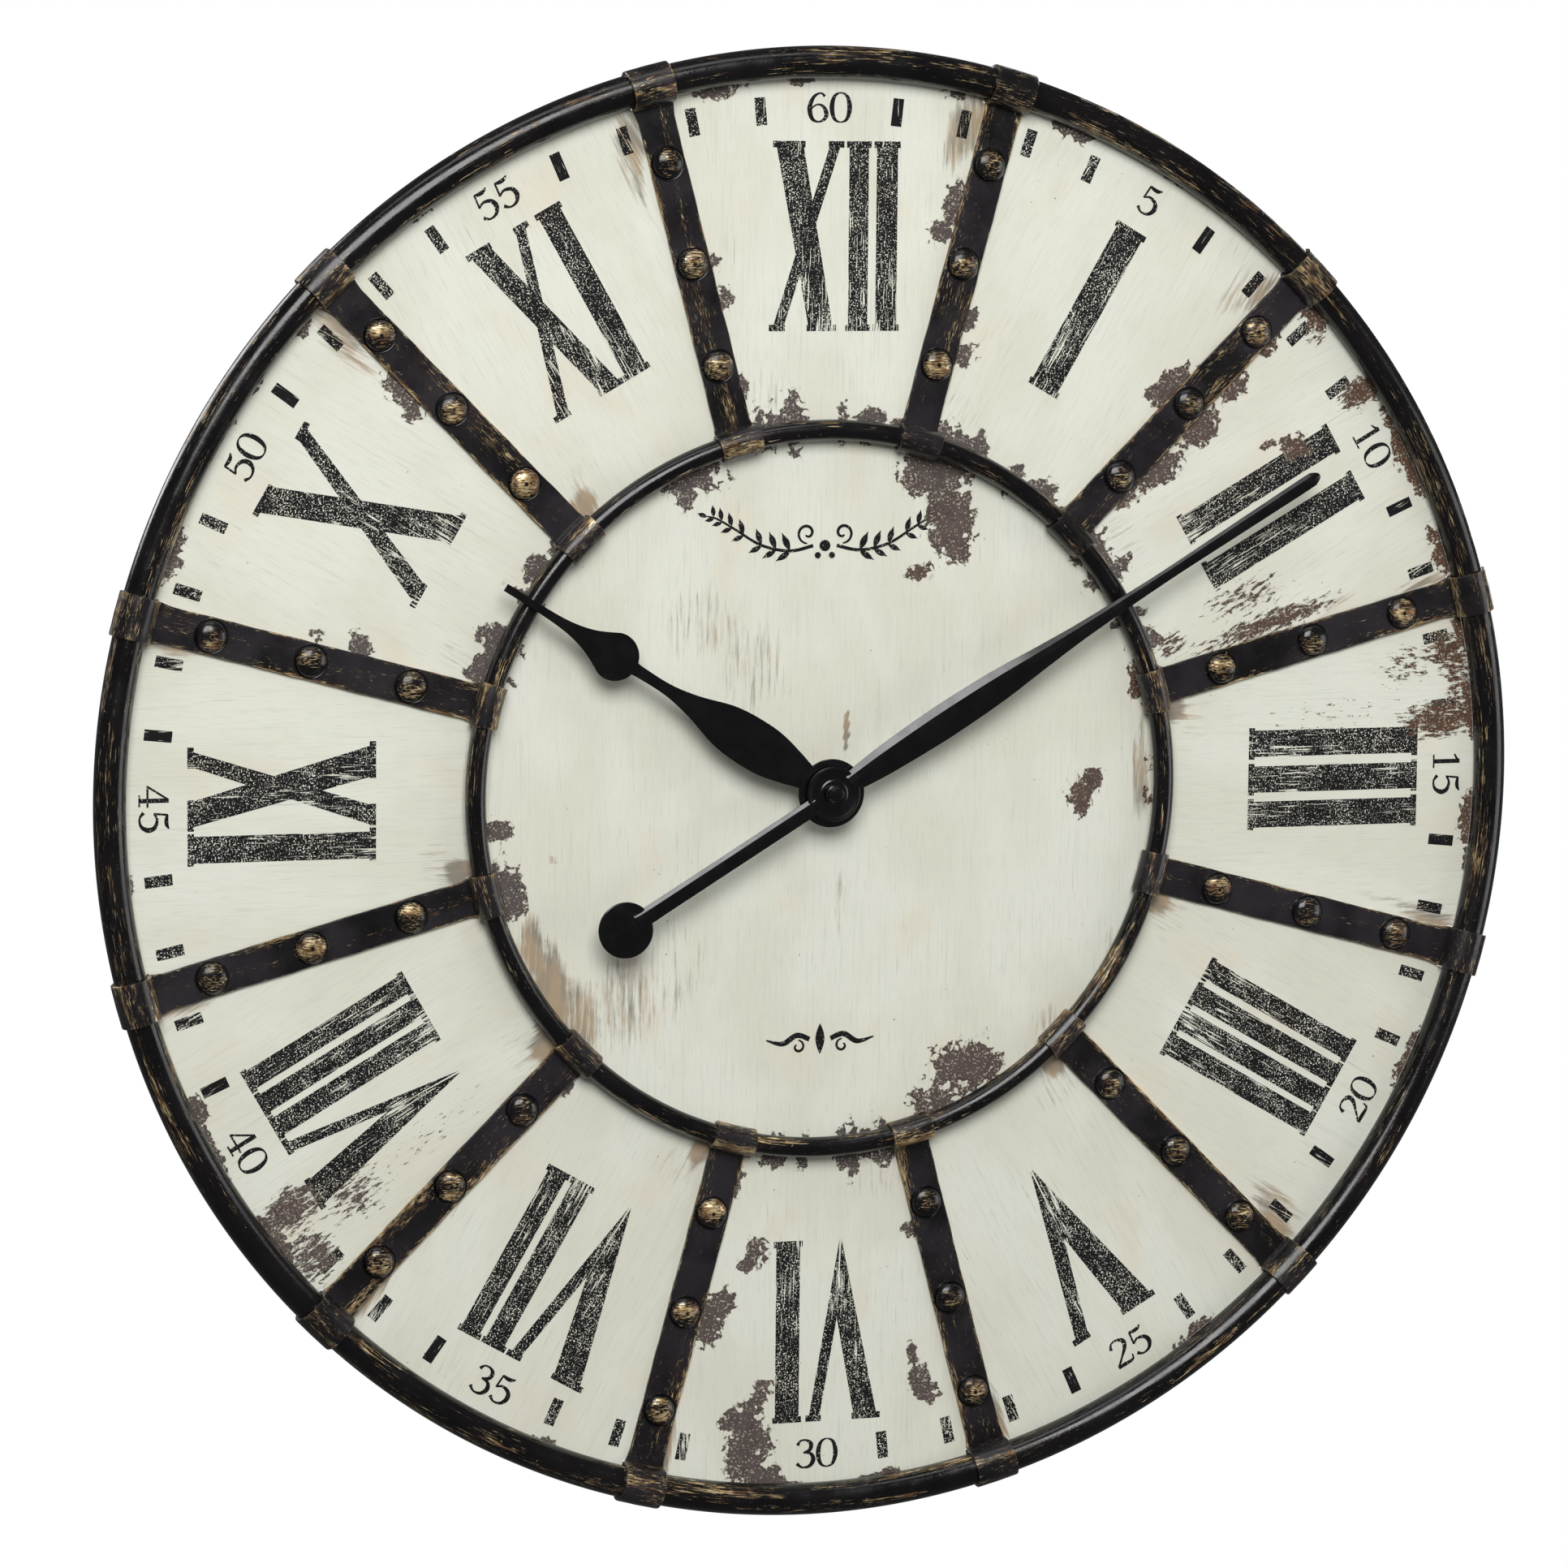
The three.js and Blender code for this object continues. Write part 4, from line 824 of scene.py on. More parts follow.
class Print(Shape):
    """Strokes printed on the dial, laid out as if at twelve and turned clockwise to an angle."""

    def __init__(self, angle=0.0):
        super().__init__()
        self.angle = angle
        self.strokes = 0

    def height(self):
        self.strokes += 1
        return PRINT_HIGH + PRINT_STEP * (self.strokes - 1)

    def lay(self, corners, across, along):
        corners = [turned(u, v, self.angle) for u, v in corners]
        slab(self, corners, PRINT_LOW, self.height(), across, along)

    def pen(self, line, closed=False):
        line = [(*turned(u, v, self.angle), width) for u, v, width in line]
        ribbon(self, line, PRINT_LOW, self.height(), closed)

    def finish(self, name, ink):
        wear_maps(self.make(name, ink, "dial_board"))


NUMERAL_FOOT = 186.0
NUMERAL_HEAD = 262.0
SERIF_TALL = 2.6
SERIF_OUT = 1.1
V_JOIN = 219.0
# Strokes of each numeral, by hour. Two values: an upright bar's left and right edge. Four: a slanted
# bar's edges at the head, then at the foot. Six: a V, as its thick arm's edges at the head, its tip at
# the foot, where its arms join, and its thin arm's edges at the head.
NUMERALS = {
    0: [(-22.4, -11, -7.6, 2.6), (1, 5.5, -23.5, -19), (8.7, 16.9), (20.3, 29.2)],
    1: [(-7, 5.5)],
    2: [(-17.4, -6), (5.1, 16.7)],
    3: [(-19.5, -8.5), (-4.5, 6.5), (10.3, 21.2)],
    4: [(-19.9, -11.3), (-8.3, 0.5), (3.3, 12.4), (15, 24)],
    5: [(-19.2, -4.9, 0.5, 2.4, 13.5, 19.6)],
    6: [(-26.5, -16.5, -9.9, -8.5, -1, 3.5), (7.6, 17.8)],
    7: [(-34.0, -21.5, -15.1, -13.1, -4.5, 0.1), (3.3, 12.1), (15.1, 23.5)],
    8: [(-36.1, -24.2, -19.2, -17.2, -9.9, -5.4), (-2.6, 5.8), (8.5, 16.7), (19.6, 27.8)],
    9: [(-22.2, -11.5), (-8.3, 1.9, 11, 23.5), (16.7, 22.8, -9.5, -1.5)],
    10: [(-17, -5.6, 11.5, 23.3), (17.1, 22.8, -17.4, -9)],
    11: [(-21, -12, -0.6, 8.5), (1, 5.5, -21.7, -16.5), (11.2, 21)],
}


def build_numerals():
    for hour, strokes in NUMERALS.items():
        shape = Print(hour * SECTOR)

        def bar(foot, head, across=3):
            """A bar between its foot's left and right corner and its head's."""
            shape.lay([*foot, (head[1], NUMERAL_HEAD), (head[0], NUMERAL_HEAD)], across, 20)

        def serif(edges, v):
            left, right = edges[0] - SERIF_OUT, edges[1] + SERIF_OUT
            shape.lay([(left, v), (right, v), (right, v + SERIF_TALL), (left, v + SERIF_TALL)], 4, 1)

        for edges in strokes:
            head = edges[:2]
            if len(edges) == 6:
                tip, join = edges[2:4]
                thin = edges[4:]
                bar([(tip - 0.3, NUMERAL_FOOT), (join, V_JOIN)], head)
                bar([(join, V_JOIN), (tip + 0.5, NUMERAL_FOOT)], thin, 2)
                serif(head, NUMERAL_HEAD - SERIF_TALL)
                serif(thin, NUMERAL_HEAD - SERIF_TALL)
            else:
                foot = edges[2:] or head
                bar([(foot[0], NUMERAL_FOOT), (foot[1], NUMERAL_FOOT)], head)
                serif(foot, NUMERAL_FOOT)
                serif(head, NUMERAL_HEAD - SERIF_TALL)
        shape.finish(f"hour_numeral_{hour or HOURS:02d}", NUMERAL_INK)


TICK_HALF = 2.25
TICK_FOOT = 269.5
TICK_HEAD = 280.7
TICK_INKS = {1: TICK_SOLID, 2: TICK_ERODED, 3: TICK_SPECKLED, 4: TICK_SPECKLED}


def build_ticks():
    """Four sets of ticks, by their place after the hour, each set rubbed in its own way."""
    corners = [(-TICK_HALF, TICK_FOOT), (TICK_HALF, TICK_FOOT),
               (TICK_HALF, TICK_HEAD), (-TICK_HALF, TICK_HEAD)]
    for step, ink in TICK_INKS.items():
        shape = Print()
        for hour in range(HOURS):
            angle = TURN * (5 * hour + step) / MINUTES
            slab(shape, [turned(u, v, angle) for u, v in corners], PRINT_LOW, PRINT_HIGH, 2, 4)
        shape.finish(f"minute_ticks_{step}", ink)


# Figures as pen strokes (x, z, width) in a box about 7 wide and 11.5 high; the nought's is closed.
FIGURES = {
    "0": [curve([(0, 11.3, 0.5), (-2.1, 9.9, 1.2), (-2.9, 5.75, 1.7), (-2.1, 1.6, 1.2), (0, 0.25, 0.5),
                 (2.1, 1.6, 1.2), (2.9, 5.75, 1.7), (2.1, 9.9, 1.2)], 4, True)],
    "1": [[(0.2, 0.3, 1.5), (0.2, 11.4, 1.5)], [(-2.0, 0.3, 0.6), (2.4, 0.3, 0.6)],
          [(-2.1, 9.2, 0.6), (-0.8, 10.0, 0.8), (0.2, 11.2, 0.9)]],
    "2": [curve([(-2.5, 8.5, 1.4), (-1.7, 10.7, 0.7), (0.3, 11.2, 0.8), (2.4, 9.7, 1.6), (2.2, 7.2, 1.5),
                 (0.0, 4.2, 0.9), (-2.9, 0.9, 0.7)]),
          curve([(-3.0, 0.7, 1.2), (-0.6, 0.7, 1.4), (1.8, 0.55, 1.1), (2.9, 1.1, 0.8), (3.2, 2.7, 0.5)])],
    "3": [curve([(-2.4, 9.2, 1.3), (-1.4, 10.9, 0.7), (0.5, 11.1, 0.8), (2.1, 9.6, 1.5), (1.7, 7.2, 1.3),
                 (-0.4, 6.2, 0.6)]),
          curve([(-0.4, 6.2, 0.6), (2.0, 5.7, 1.1), (2.9, 3.2, 1.7), (1.6, 0.8, 1.2), (-0.8, 0.4, 0.7),
                 (-2.6, 2.0, 1.3)])],
    "4": [[(1.2, 0.3, 1.5), (1.2, 11.4, 1.5)], [(-0.6, 0.3, 0.6), (3.0, 0.3, 0.6)],
          [(1.0, 11.3, 0.7), (-3.1, 3.5, 0.7)], [(-3.4, 3.4, 0.7), (3.3, 3.4, 0.7)]],
    "5": [curve([(-1.9, 10.9, 0.7), (-0.4, 10.5, 1.3), (1.2, 10.6, 1.3), (2.5, 11.5, 0.4)]),
          [(-1.8, 11.0, 0.7), (-2.2, 5.7, 0.7)],
          curve([(-2.2, 5.9, 0.7), (-0.4, 7.0, 0.9), (2.0, 6.1, 1.4), (2.8, 3.6, 1.7), (1.6, 1.0, 1.1),
                 (-0.8, 0.4, 0.7), (-2.6, 1.9, 1.3)])],
    "6": [curve([(2.2, 9.9, 1.1), (0.9, 11.1, 0.6), (-1.3, 9.8, 1.1), (-2.7, 5.8, 1.7), (-2.0, 1.7, 1.4),
                 (0.1, 0.35, 0.6), (2.2, 1.5, 1.2), (2.7, 3.7, 1.6), (1.6, 6.2, 1.0), (-0.3, 6.8, 0.6),
                 (-2.3, 5.2, 0.6)])],
}
FIGURE_FOOT = 269.3
FIGURE_TALL = 11.5
FIGURE_PITCH = 7.4
FIGURE_SIZE = 1.06
FIGURE_WIDE = 1.22
FIGURE_BOLD = 1.12
UPRIGHT_HOURS = (0, 1, 2, 3, 10, 11)


def build_figures():
    """The minutes at each hour, their feet toward the hub on the upper hours and toward the rim below."""
    for hour in range(HOURS):
        text = str(5 * (hour or HOURS))
        shape = Print(hour * SECTOR)
        for order, figure in enumerate(text):
            shift = (order - (len(text) - 1) / 2) * FIGURE_PITCH
            for line in FIGURES[figure]:
                points = []
                for x, z, width in line:
                    u = (x + shift) * FIGURE_SIZE * FIGURE_WIDE
                    v = FIGURE_FOOT + z * FIGURE_SIZE
                    if hour not in UPRIGHT_HOURS:
                        u, v = -u, FIGURE_FOOT + FIGURE_TALL * FIGURE_SIZE - z * FIGURE_SIZE
                    points.append((u, v, width * FIGURE_SIZE * FIGURE_BOLD))
                shape.pen(points, figure == "0")
        shape.finish(f"minute_figure_{text}", FIGURE_INK)


SPIRAL_EYE = 0.9


def spiral(x, z, radius, turns, start, way, thick, thin, steps=34):
    """A curl that winds from a radius in to a small eye; way is 1 for clockwise on the dial."""
    line = []
    for i in range(steps + 1):
        t = i / steps
        a = start + way * TURN * turns * t
        r = radius * (1 - t) ** 0.9 + SPIRAL_EYE * t
        width = thin + (thick - thin) * math.sin(math.pi * t) ** 0.6
        line.append((x + r * math.sin(a), z + r * math.cos(a), width))
    return line


# The ornaments' lines, for the right side, as (x, z, width), and the berries as (x, z, radius).
STEM = [(5, 99.5, 1.5), (15, 97.5, 1.3), (27, 100, 1.2), (38, 106.5, 1.0), (46, 111, 0.8), (51, 112, 0.5)]
RULE = [(4.5, -102.5, 2.0), (10, -100.7, 2.3), (16, -104.0, 2.1), (23, -102.3, 0.6)]
BERRIES = [(0, 99.5, 2.3), (-3.0, 95.6, 1.3), (3.0, 95.6, 1.3)]


def build_flourishes():
    """Plain ornaments of no particular maker: two leafy sprigs above the hands and a small rule below."""
    shape = Print()

    def leaf(x, z, lean, long, wide):
        """A leaf that grows from a point on the right side, or its mirror image."""
        a = math.radians(lean)
        line = []
        for i in range(8):
            t = i / 7
            width = wide * math.sin(math.pi * min(t + 0.06, 0.97))
            line.append((side * (x + t * long * math.sin(a)), z + t * long * math.cos(a), width))
        shape.pen(line)

    for side in (-1, 1):
        stem = curve(STEM)
        shape.pen([(side * x, z, w) for x, z, w in stem])
        for step in range(2, 9):
            x, z, _ = stem[int(step * (len(stem) - 2) / 9)]
            slope = 78 - 3.2 * step
            leaf(x, z + 0.5, slope - 46, 8.6 - 0.5 * step, 3.1 - 0.14 * step)
            leaf(x, z - 0.5, slope + 50, 7.8 - 0.5 * step, 2.8 - 0.14 * step)
        leaf(50, 111.8, 70, 4.2, 1.9)
        shape.pen(spiral(side * 7.6, 104.6, 4.2, 1.1, math.pi, -side, 1.2, 0.6))
    top = shape.height()
    for x, z, radius in BERRIES:
        lathe(shape, [(0, top), (radius, top), (radius, PRINT_LOW), (0, PRINT_LOW)], 24, x, z)
    shape.finish("upper_flourish", FIGURE_INK)
    shape = Print()
    for side in (-1, 1):
        shape.pen([(side * x, z, w) for x, z, w in curve(RULE)])
        shape.pen(spiral(side * 9.4, -105.4, 2.7, 0.9, 0.0, -side, 1.1, 0.5))
    drop = [i / 10 for i in range(11)]
    shape.pen([(0, -108.6 + 12.4 * t, 0.3 + 3.6 * math.sin(math.pi * t)) for t in drop])
    shape.finish("lower_flourish", FIGURE_INK)


build_numerals()
build_ticks()
build_figures()
build_flourishes()

# ---------------------------------------------------------------- rings
RING_SEGMENTS = 432
TUBE_SEGMENTS = 28


def build_ring(name, radius, axis, tube, node):
    shape = Shape()
    rows = []
    for i in range(RING_SEGMENTS):
        a = TURN * i / RING_SEGMENTS
        row = []
        for j in range(TUBE_SEGMENTS):
            t = TURN * j / TUBE_SEGMENTS
            r = radius + tube * math.cos(t)
            row.append((r * math.sin(a), axis + tube * math.sin(t), r * math.cos(a)))
        rows.append(row)
    shape.grid(rows, closed=True)
    ring = shape.make(name, RING_STEEL, "ring_steel", replaced=(node,), sharp=80)
    mesh = ring.data
    mesh.attributes.remove(mesh.attributes["run"])
    corners = np.zeros((len(mesh.loops), 3), np.float32)

    def polar(co):
        """A point's angle round the dial and its angle round the tube."""
        x, z = (co.x - AXIS_X) / MM, (co.z - AXIS_Z) / MM
        h = (FACE_Y - co.y) / MM
        return math.atan2(x, z), math.atan2(h - axis, math.hypot(x, z) - radius)

    def near(value, centre):
        return value + TURN * round((centre - value) / TURN)

    seam = SECTOR / 2
    for face in mesh.polygons:
        around, over = polar(face.center)
        around = (around - seam) % TURN + seam
        for loop in face.loop_indices:
            a, t = polar(mesh.vertices[mesh.loops[loop].vertex_index].co)
            t = near(t, over)
            corners[loop] = (near(a, around) * radius, tube * math.sin(t), tube * math.cos(t))
    write_attribute(mesh, "run", corners, "CORNER")


build_ring("outer_ring_tube", RING_RADIUS, RING_AXIS, RING_TUBE, "outer_ring")
build_ring("inner_ring_rod", INNER_RADIUS, INNER_AXIS, INNER_ROD, "inner_ring")

# ---------------------------------------------------------------- straps and rivets
BAND_INNER = 150.6
BAND_OUTER = 285.6
COLLAR_RADIUS = 293.2
COLLAR_OUTER = 8.3
SADDLE_OUTER = 5.8
SADDLE_START = math.radians(-38)
SADDLE_STOP = math.radians(218)
# Two waves in the band's width: size, pitch in radians a millimetre, and phase step from strap to strap.
WAVES = ((0.09, 0.21, 1.0), (0.06, 0.47, 2.1))
# Across the band from its side: share of its half-width, share of its thickness, and rubbed share.
BAND_SIDE = [(1, 0.0, 1), (1, 0.78, 1), (0.965, 0.97, 1), (0.91, 1.0, 0.6), (0.8, 1.0, 0.1)]
BAND_SECTION = [(-u, t, mark) for u, t, mark in BAND_SIDE] + [(0, 1.0, 0)] + BAND_SIDE[::-1] + [(0, 0.0, 0)]
# Along the band: radius, and how much wider it is than in the middle.
BAND_PITCH = 4
STATIONS = [(BAND_INNER, 0.5), (152.8, 0.35)]
STATIONS += [(154.4 + BAND_PITCH * i, 0) for i in range(31)]
STATIONS += [(279.6, 0), (282.6, 0.45), (BAND_OUTER, 1.0)]
SEED_STEP = 173.0


def build_strap(k):
    angle = (k - 0.5) * SECTOR
    at = turned_frame(angle)
    shape = Shape()
    seed = SEED_STEP * k
    rise = STRAP_TOP - STRAP_UNDER
    rows, run, edge = [], [], []
    for v, flare in STATIONS:
        half = STRAP_HALF + flare
        wave = sum(size * math.sin(v * pitch + phase * k) for size, pitch, phase in WAVES)
        rows.append([at(u * (half + wave), STRAP_UNDER + rise * t, v) for u, t, _ in BAND_SECTION])
        run += [(v, u * half + seed, STRAP_TOP * t) for u, t, _ in BAND_SECTION]
        edge += [mark for _, _, mark in BAND_SECTION]
    shape.grid(rows, run, edge)

    def collar(radius, axis, bore, outer, start, stop, steps):
        """A band of sheet bent round a ring: whole when it runs through a full turn, else open beneath."""
        full = stop - start == TURN
        half = COLLAR_HALF
        rims = [(half, -0.34, 0.9), (half - 0.22, -0.06, 0.9), (half - 0.9, 0.0, 0.7), (half / 2, -0.03, 0.6)]
        section = [(-u, outer + drop, mark) for u, drop, mark in rims] + [(0, outer + 0.02, 0.6)]
        section += [(u, outer + drop, mark) for u, drop, mark in reversed(rims)]
        section += [(half, bore, 0.6), (-half, bore, 0.6)]
        rows, run, edge = [], [], []
        for i in range(steps if full else steps + 1):
            t = start + (stop - start) * i / steps
            row = []
            for u, r, mark in section:
                v = radius + r * math.cos(t)
                turn = u / radius
                row.append(at(v * math.sin(turn), axis + r * math.sin(t), v * math.cos(turn)))
                run.append((seed + u, r * math.sin(t), r * math.cos(t) + radius))
                edge.append(mark)
            rows.append(row)
        shape.grid(rows, run, edge, closed=full)

    collar(COLLAR_RADIUS, RING_AXIS, RING_TUBE + 0.1, COLLAR_OUTER, 0, TURN, 36)
    collar(INNER_RADIUS, INNER_AXIS, INNER_ROD + 0.15, SADDLE_OUTER, SADDLE_START, SADDLE_STOP, 30)
    shape.make(f"strap_band_{k:02d}", STRAP_STEEL, "strap_steel", replaced=(f"strap_{k:02d}",), sharp=32)
    for order, radius in enumerate(RIVET_RADII, 1):
        build_rivet(f"rivet_{k:02d}_{order}", *turned(0, radius, angle))


RIVET_RADIUS = 6.25
RIVET_BASE = 2.1
RIVET_CROWN = 5.0
# The washer under the dome, as radius, height above the strap and rubbed share; and the headed tail.
WASHER = [(0, -0.1, 0), (7.1, -0.1, 0), (7.1, 0.14, 0.3), (6.9, 0.3, 0.3), (6.55, 0.28, 0),
          (6.35, 0.16, 0)]
RIVET_TAIL = [(0, -4.8), (4.15, -4.8), (4.2, -5.6), (3.8, -6.2), (2.6, -6.5), (0, -6.58)]
DOME_STEPS = 10


def build_rivet(name, x, z):
    profile = [(radius, STRAP_TOP + h, mark) for radius, h, mark in WASHER]
    for i in range(DOME_STEPS):
        t = math.pi / 2 * i / DOME_STEPS
        h = RIVET_BASE + (RIVET_CROWN - RIVET_BASE) * math.sin(t)
        profile.append((RIVET_RADIUS * math.cos(t), h, 0.35 + 0.65 * math.sin(t)))
    profile.append((0, RIVET_CROWN, 1.0))
    shape = Shape()
    lathe(shape, [p[:2] for p in profile], 40, x, z, [p[2] for p in profile])
    lathe(shape, RIVET_TAIL, 28, x, z)
    shape.make(name, RIVET_STEEL, "strap_steel", sharp=40)


for strap_number in range(1, HOURS + 1):
    build_strap(strap_number)

# ---------------------------------------------------------------- hands
# A blade's stations are (radius from the hub, half-width); the tail's run the other way.
MINUTE_BLADE = [(8, 4.2), (24, 5.9), (45, 6.9), (60, 7.1), (82, 6.5), (105, 4.7), (128, 3.3),
                (164, 2.4), (210, 2.7), (238, 2.9), (242, 2.4), (244, 1.3), (244.5, 0.5)]
MINUTE_TAIL = [(-8, 3.4), (-14, 3.5), (-60, 3.5), (-90, 3.6), (-96, 4.2)]
MINUTE_BACK = 14.2
MINUTE_BRIM = 14.8
BLADE_CREST = 1.55
TAIL_CREST = 1.3
WEIGHT_PLACE = 101.5
WEIGHT_RADIUS = 11.4


def build_minute_hand():
    at = turned_frame(node_tip_angle("minute_hand"))
    shape = Shape()
    back, brim = MINUTE_BACK, MINUTE_BRIM

    def blade(stations, crest):
        rows = []
        for z, w in curve(stations, 5):
            ridge = crest * min(1.0, w / 5.0)
            section = [(-1, back), (-1, brim), (-0.58, brim + 0.8 * ridge), (0, brim + ridge),
                       (0.58, brim + 0.8 * ridge), (1, brim), (1, back)]
            rows.append([at(x * w, h, z) for x, h in section])
        shape.grid(rows)

    blade(MINUTE_BLADE, BLADE_CREST)
    blade(MINUTE_TAIL, TAIL_CREST)
    x, _, z = at(0, 0, -WEIGHT_PLACE)
    rim = WEIGHT_RADIUS
    weight = [(0, back), (rim - 0.3, back), (rim, back + 0.25), (rim, brim + 0.1), (rim - 0.4, brim + 0.35),
              (rim - 1.3, brim + 0.45), (0, brim + 0.5)]
    lathe(shape, weight, 64, x, z)
    hub = [(0, back - 0.1), (10.9, back - 0.1), (11.2, back + 0.15), (11.2, brim + 0.4), (10.9, brim + 0.7),
           (10.3, brim + 0.8), (9.6, brim + 0.65), (8.8, brim + 0.5), (6.0, brim + 0.5), (5.4, brim + 0.75),
           (0, brim + 0.75)]
    lathe(shape, hub, 72)
    shape.make("minute_hand_blade", LACQUER, "hand_black", "minute", ("minute_hand",), 11)


def build_cap_nut():
    low, high = extent("hand_cap_nut")
    shape = Shape()
    profile = [(0, low), (3.9, low), (4.0, low + 0.2), (4.0, low + 1.0), (3.7, low + 1.35), (3.2, low + 1.5),
               (3.2, high - 0.9), (2.8, high - 0.3), (1.8, high - 0.06), (0, high)]
    lathe(shape, profile, 40)
    shape.make("hand_cap_nut_turned", LACQUER, "hand_black", "minute", ("hand_cap_nut",), 30)


# The hour hand's half-outline as (half-width, radius from the hub), before and after its round spade.
HOUR_HALF = [(4.2, 9), (9.2, 28), (10.1, 41), (8.9, 54), (4.6, 69), (2.4, 82), (2.4, 96)]
HOUR_TIP = [(4.8, 120), (2.3, 131), (1.6, 145), (1.6, 161)]
SPADE_PLACE = 107.5
SPADE_RADIUS = 9.8
SPADE_START = -1.3
SPADE_SWEEP = 1.6
HOUR_BACK = 11.2
HOUR_FRONT = 12.2
HOUR_RIM = 0.22


def build_hour_hand():
    at = turned_frame(node_tip_angle("hour_hand"))
    back, front = HOUR_BACK, HOUR_FRONT
    outline = curve(HOUR_HALF, 5)
    for i in range(10):
        t = SPADE_START + SPADE_SWEEP * i / 9
        outline.append((SPADE_RADIUS * math.cos(t), SPADE_PLACE + SPADE_RADIUS * math.sin(t)))
    outline += curve([outline[-1]] + HOUR_TIP, 5)[1:]
    shape = Shape()
    rows = []
    for w, z in outline:
        rim = min(HOUR_RIM, w / 3)
        side = [(w, back), (w, front - rim), (w - rim, front)]
        rows.append([at(-x, h, z) for x, h in side] + [at(x, h, z) for x, h in side[::-1]])
    shape.grid(rows)
    hub = [(0, back - 0.05), (13.6, back - 0.05), (13.9, back + 0.15), (13.9, front - 0.2),
           (13.6, front + 0.02), (12.6, front + 0.1), (0, front + 0.1)]
    lathe(shape, hub, 72)
    low = extent("hour_hand")[0] + 0.02
    lathe(shape, [(0, low), (3.3, low), (3.3, back), (0, back)], 32)
    shape.make("hour_hand_leaf", LACQUER, "hand_black", "hour", ("hour_hand",), 24)


build_minute_hand()
build_cap_nut()
build_hour_hand()


# ---------------------------------------------------------------- the back and the movement
def body_of_node(node):
    for body, members in frame["record"]["behaviour"]["bodies"].items():
        if node in members:
            return body
    return "clock"


WELD = 1e-6
FLAT_ANGLE = math.radians(1.5)


def rounded_copy(node, material, width, segments=2):
    """A CAD node copied with its edges broken, as a moulding, casting or pressing has them."""
    source = frame["nodes"][node]
    mesh = source.data.copy()
    mesh.materials.clear()
    with editing(mesh) as work:
        bmesh.ops.remove_doubles(work, verts=work.verts, dist=WELD)
        bmesh.ops.dissolve_limit(work, angle_limit=FLAT_ANGLE, verts=work.verts, edges=work.edges)
    piece = finish_mesh(node + "_shell", mesh, [material], body_of_node(node), (node,))
    softened(piece, width, segments)


rounded_copy("hanger_bracket", ZINC, 0.3)
rounded_copy("movement_front_case", CASE, 0.35)
rounded_copy("movement_rear_cover", CASE, 0.3)
rounded_copy("wall_bumper_left", RUBBER, 0.8, 3)
rounded_copy("wall_bumper_right", RUBBER, 0.8, 3)
for screw in ("hanger_screw_left", "hanger_screw_right", "bumper_screw_left", "bumper_screw_right"):
    rounded_copy(screw, ZINC, 0.2)
battery_low, battery_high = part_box("battery")
rounded_copy("battery", cell_sleeve(battery_low.x / MM, battery_high.x / MM), 0.25)
rounded_copy("bushing_nut", BRASS, 0.15)
rounded_copy("dial_washer", BRASS, 0.08)
rounded_copy("set_knob", CASE, 0.25)

# The rest of the movement shows its CAD nodes as they are, each in its own finish.
FINISHES = (
    (RUBBER, "case_gasket"),
    (BRASS, "minute_arbor"),
    (WHEEL, "centre_wheel", "hour_wheel", "motion_wheel", "set_stem", "third_wheel", "seconds_wheel",
     "intermediate_wheel", "rotor"),
    (ZINC, "stator", "quartz_crystal", "battery_contact_negative", "battery_contact_positive"),
    (WIRE, "coil"),
    (LAMINATE, "circuit_board"),
)
for finish, *node_names in FINISHES:
    for node_name in node_names:
        for material_slot in frame["nodes"][node_name].material_slots:
            material_slot.material = finish

# ---------------------------------------------------------------- camera
CAMERA_DISTANCE = 2.347
CAMERA_AZIMUTH = math.radians(-17.45)
CAMERA_ELEVATION = math.radians(6.93)
CAMERA_ROLL = math.radians(0.54)
CAMERA_LENS = 132.9
SENSOR_WIDTH = 36
CLIP_START = 0.05
TARGET = place(-16.4, 0, 2.8)
toward = Vector((
    math.sin(CAMERA_AZIMUTH) * math.cos(CAMERA_ELEVATION),
    -math.cos(CAMERA_AZIMUTH) * math.cos(CAMERA_ELEVATION),
    math.sin(CAMERA_ELEVATION)))
level_right = Vector((0, 0, 1)).cross(toward).normalized()
level_up = toward.cross(level_right)
right = math.cos(CAMERA_ROLL) * level_right + math.sin(CAMERA_ROLL) * level_up
up = math.cos(CAMERA_ROLL) * level_up - math.sin(CAMERA_ROLL) * level_right
camera_data = bpy.data.cameras.new("camera")
camera_data.lens = CAMERA_LENS
camera_data.sensor_width = SENSOR_WIDTH
camera_data.clip_start = CLIP_START
camera = add_object("camera", camera_data)
camera_matrix = Matrix((right, up, toward)).transposed().to_4x4()
camera_matrix.translation = TARGET + CAMERA_DISTANCE * toward
camera.matrix_world = camera_matrix
bpy.context.scene.camera = camera

# ---------------------------------------------------------------- stage and light
FLOOR_DROP = 1.5
FLOOR_HALF = 4.0
FLOOR_GLOW = 0.6
WHITE = (1, 1, 1, 1)
# What the camera sees behind the clock, and how much light comes from there.
WORLD_SEEN = 1.0
WORLD_LIT = 0.12
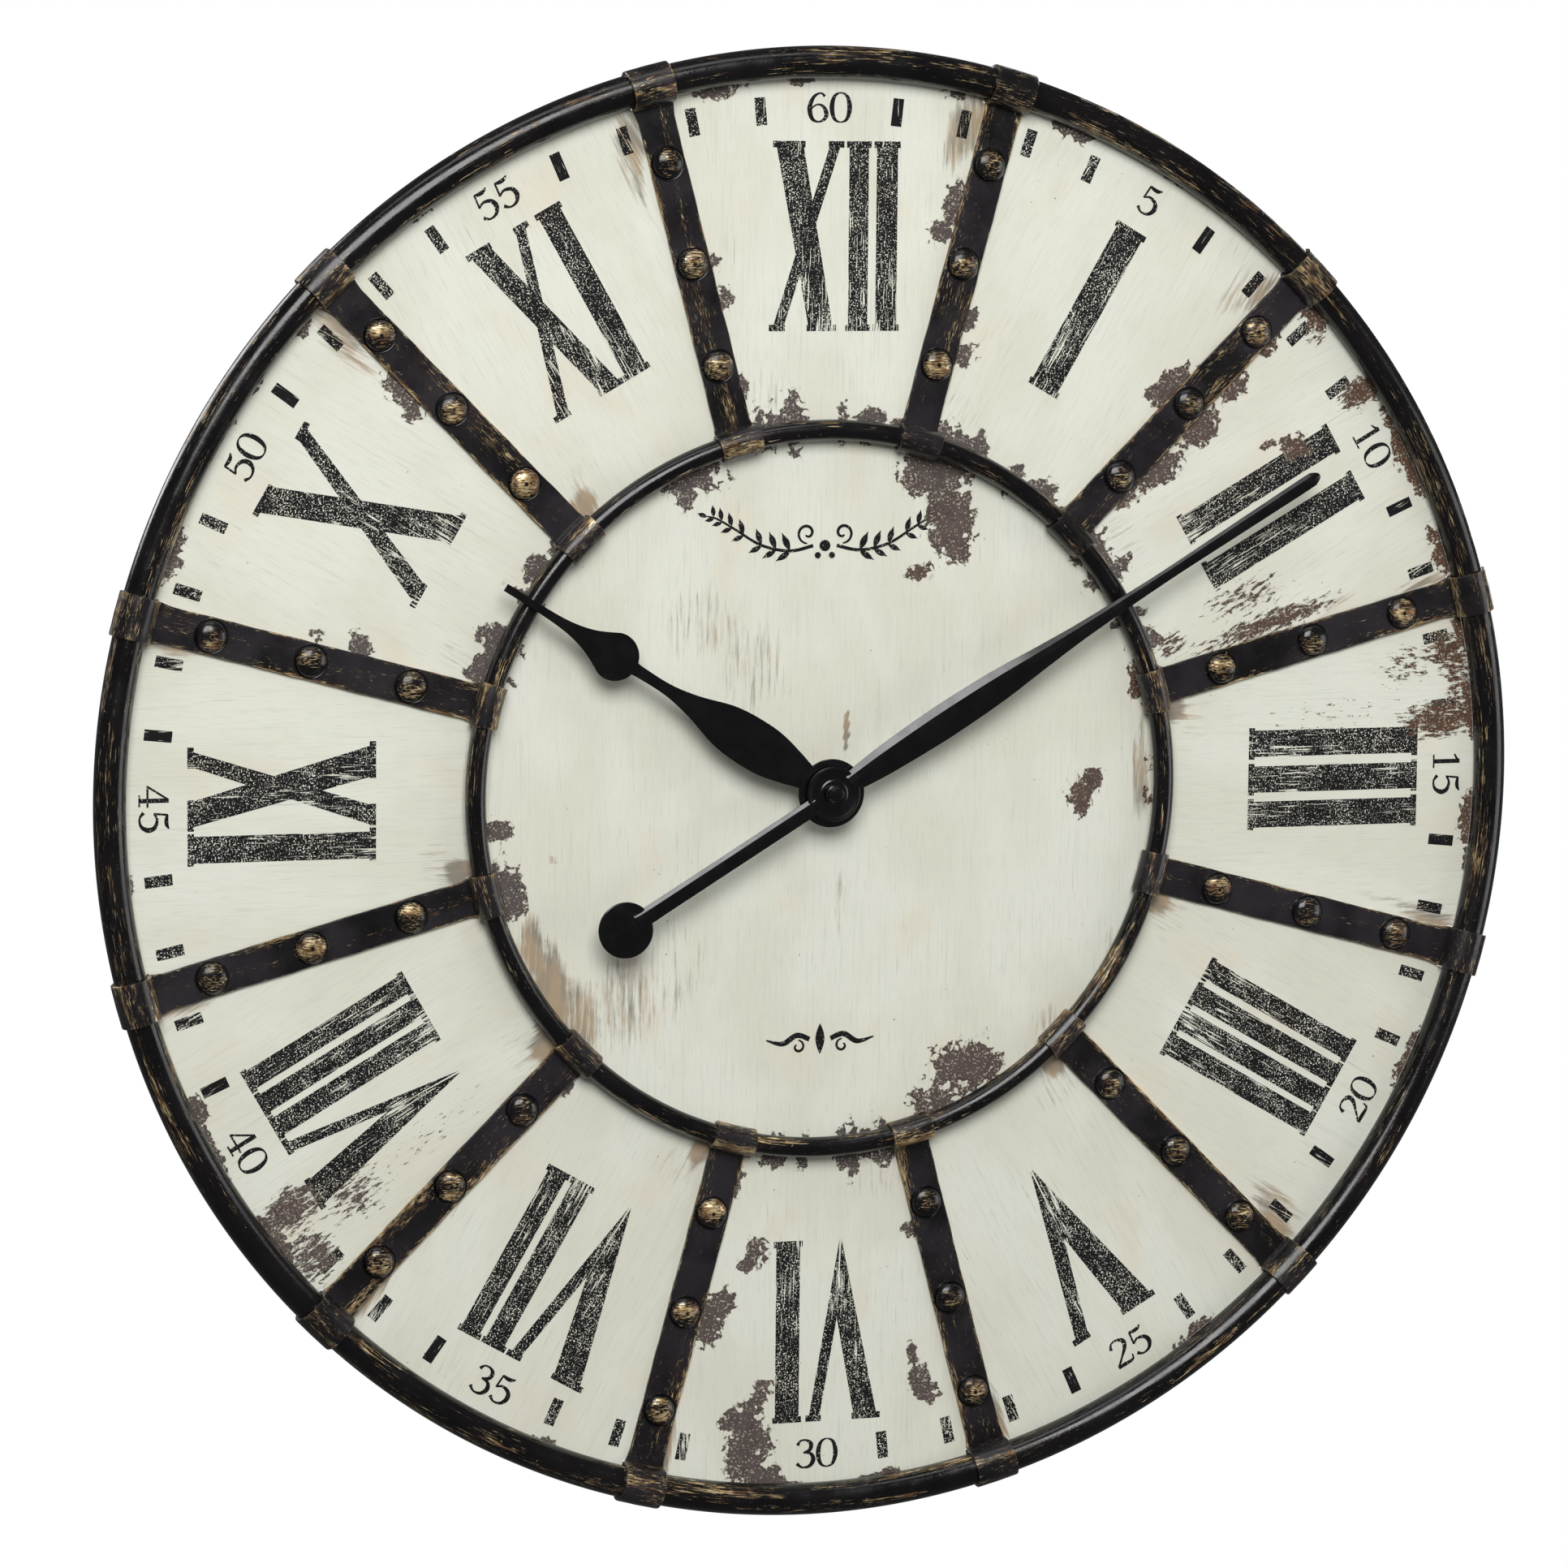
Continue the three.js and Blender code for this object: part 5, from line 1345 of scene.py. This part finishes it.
# Soft panels that face the dial's centre: offset from it and sides in metres, and power in watts.
LIGHTS = {
    "key": ((-0.55, -2.1, 1.35), 1.6, 1.3, 58),
    "fill": ((2.7, -1.3, -0.1), 1.6, 1.6, 18),
    "top": ((-0.3, -0.7, 2.4), 2.2, 0.6, 9),
    "back_left": ((-1.6, 1.6, 1.2), 1.2, 1.2, 30),
    "back_right": ((1.6, 1.8, 0.6), 1.2, 1.2, 22),
}


def build_floor():
    """A plain pale floor well below the clock, which lights nothing and shows in no reflection."""
    mesh = bpy.data.meshes.new("floor")
    with editing(mesh) as work:
        bmesh.ops.create_grid(work, x_segments=8, y_segments=8, size=FLOOR_HALF)
    floor = add_object("floor", mesh)
    floor.location = (0, 0, ring_low.z - FLOOR_DROP)
    floor.visible_diffuse = False
    floor.visible_glossy = False
    s = Shade("pale_floor", Roughness=0.9, Emission_Color=WHITE, Emission_Strength=FLOOR_GLOW)
    s.set(Base_Color=s.mix(s.noise(s.place(), 300), srgb(232, 232, 230), srgb(240, 240, 238)))
    mesh.materials.append(s.material)


def build_lights():
    for name, (offset, size_x, size_y, power) in LIGHTS.items():
        data = bpy.data.lights.new(name, "AREA")
        data.shape = "RECTANGLE"
        data.size = size_x
        data.size_y = size_y
        data.energy = power
        light = add_object(name, data)
        light.location = place(0, 0, 0) + Vector(offset)
        light.rotation_euler = (-Vector(offset)).to_track_quat("-Z", "Y").to_euler()


def build_world():
    world = bpy.data.worlds.new("studio")
    bpy.context.scene.world = world
    world.use_nodes = True
    tree = world.node_tree
    tree.nodes.clear()
    blend = tree.nodes.new("ShaderNodeMixShader")
    path = tree.nodes.new("ShaderNodeLightPath")
    tree.links.new(path.outputs["Is Camera Ray"], blend.inputs[0])
    for socket, strength in ((1, WORLD_LIT), (2, WORLD_SEEN)):
        light = tree.nodes.new("ShaderNodeBackground")
        light.inputs[0].default_value = WHITE
        light.inputs[1].default_value = strength
        tree.links.new(light.outputs[0], blend.inputs[socket])
    output = tree.nodes.new("ShaderNodeOutputWorld")
    tree.links.new(blend.outputs[0], output.inputs[0])


build_floor()
build_world()
build_lights()
bpy.context.scene.view_settings.view_transform = "Standard"
bpy.context.scene.view_settings.look = "None"
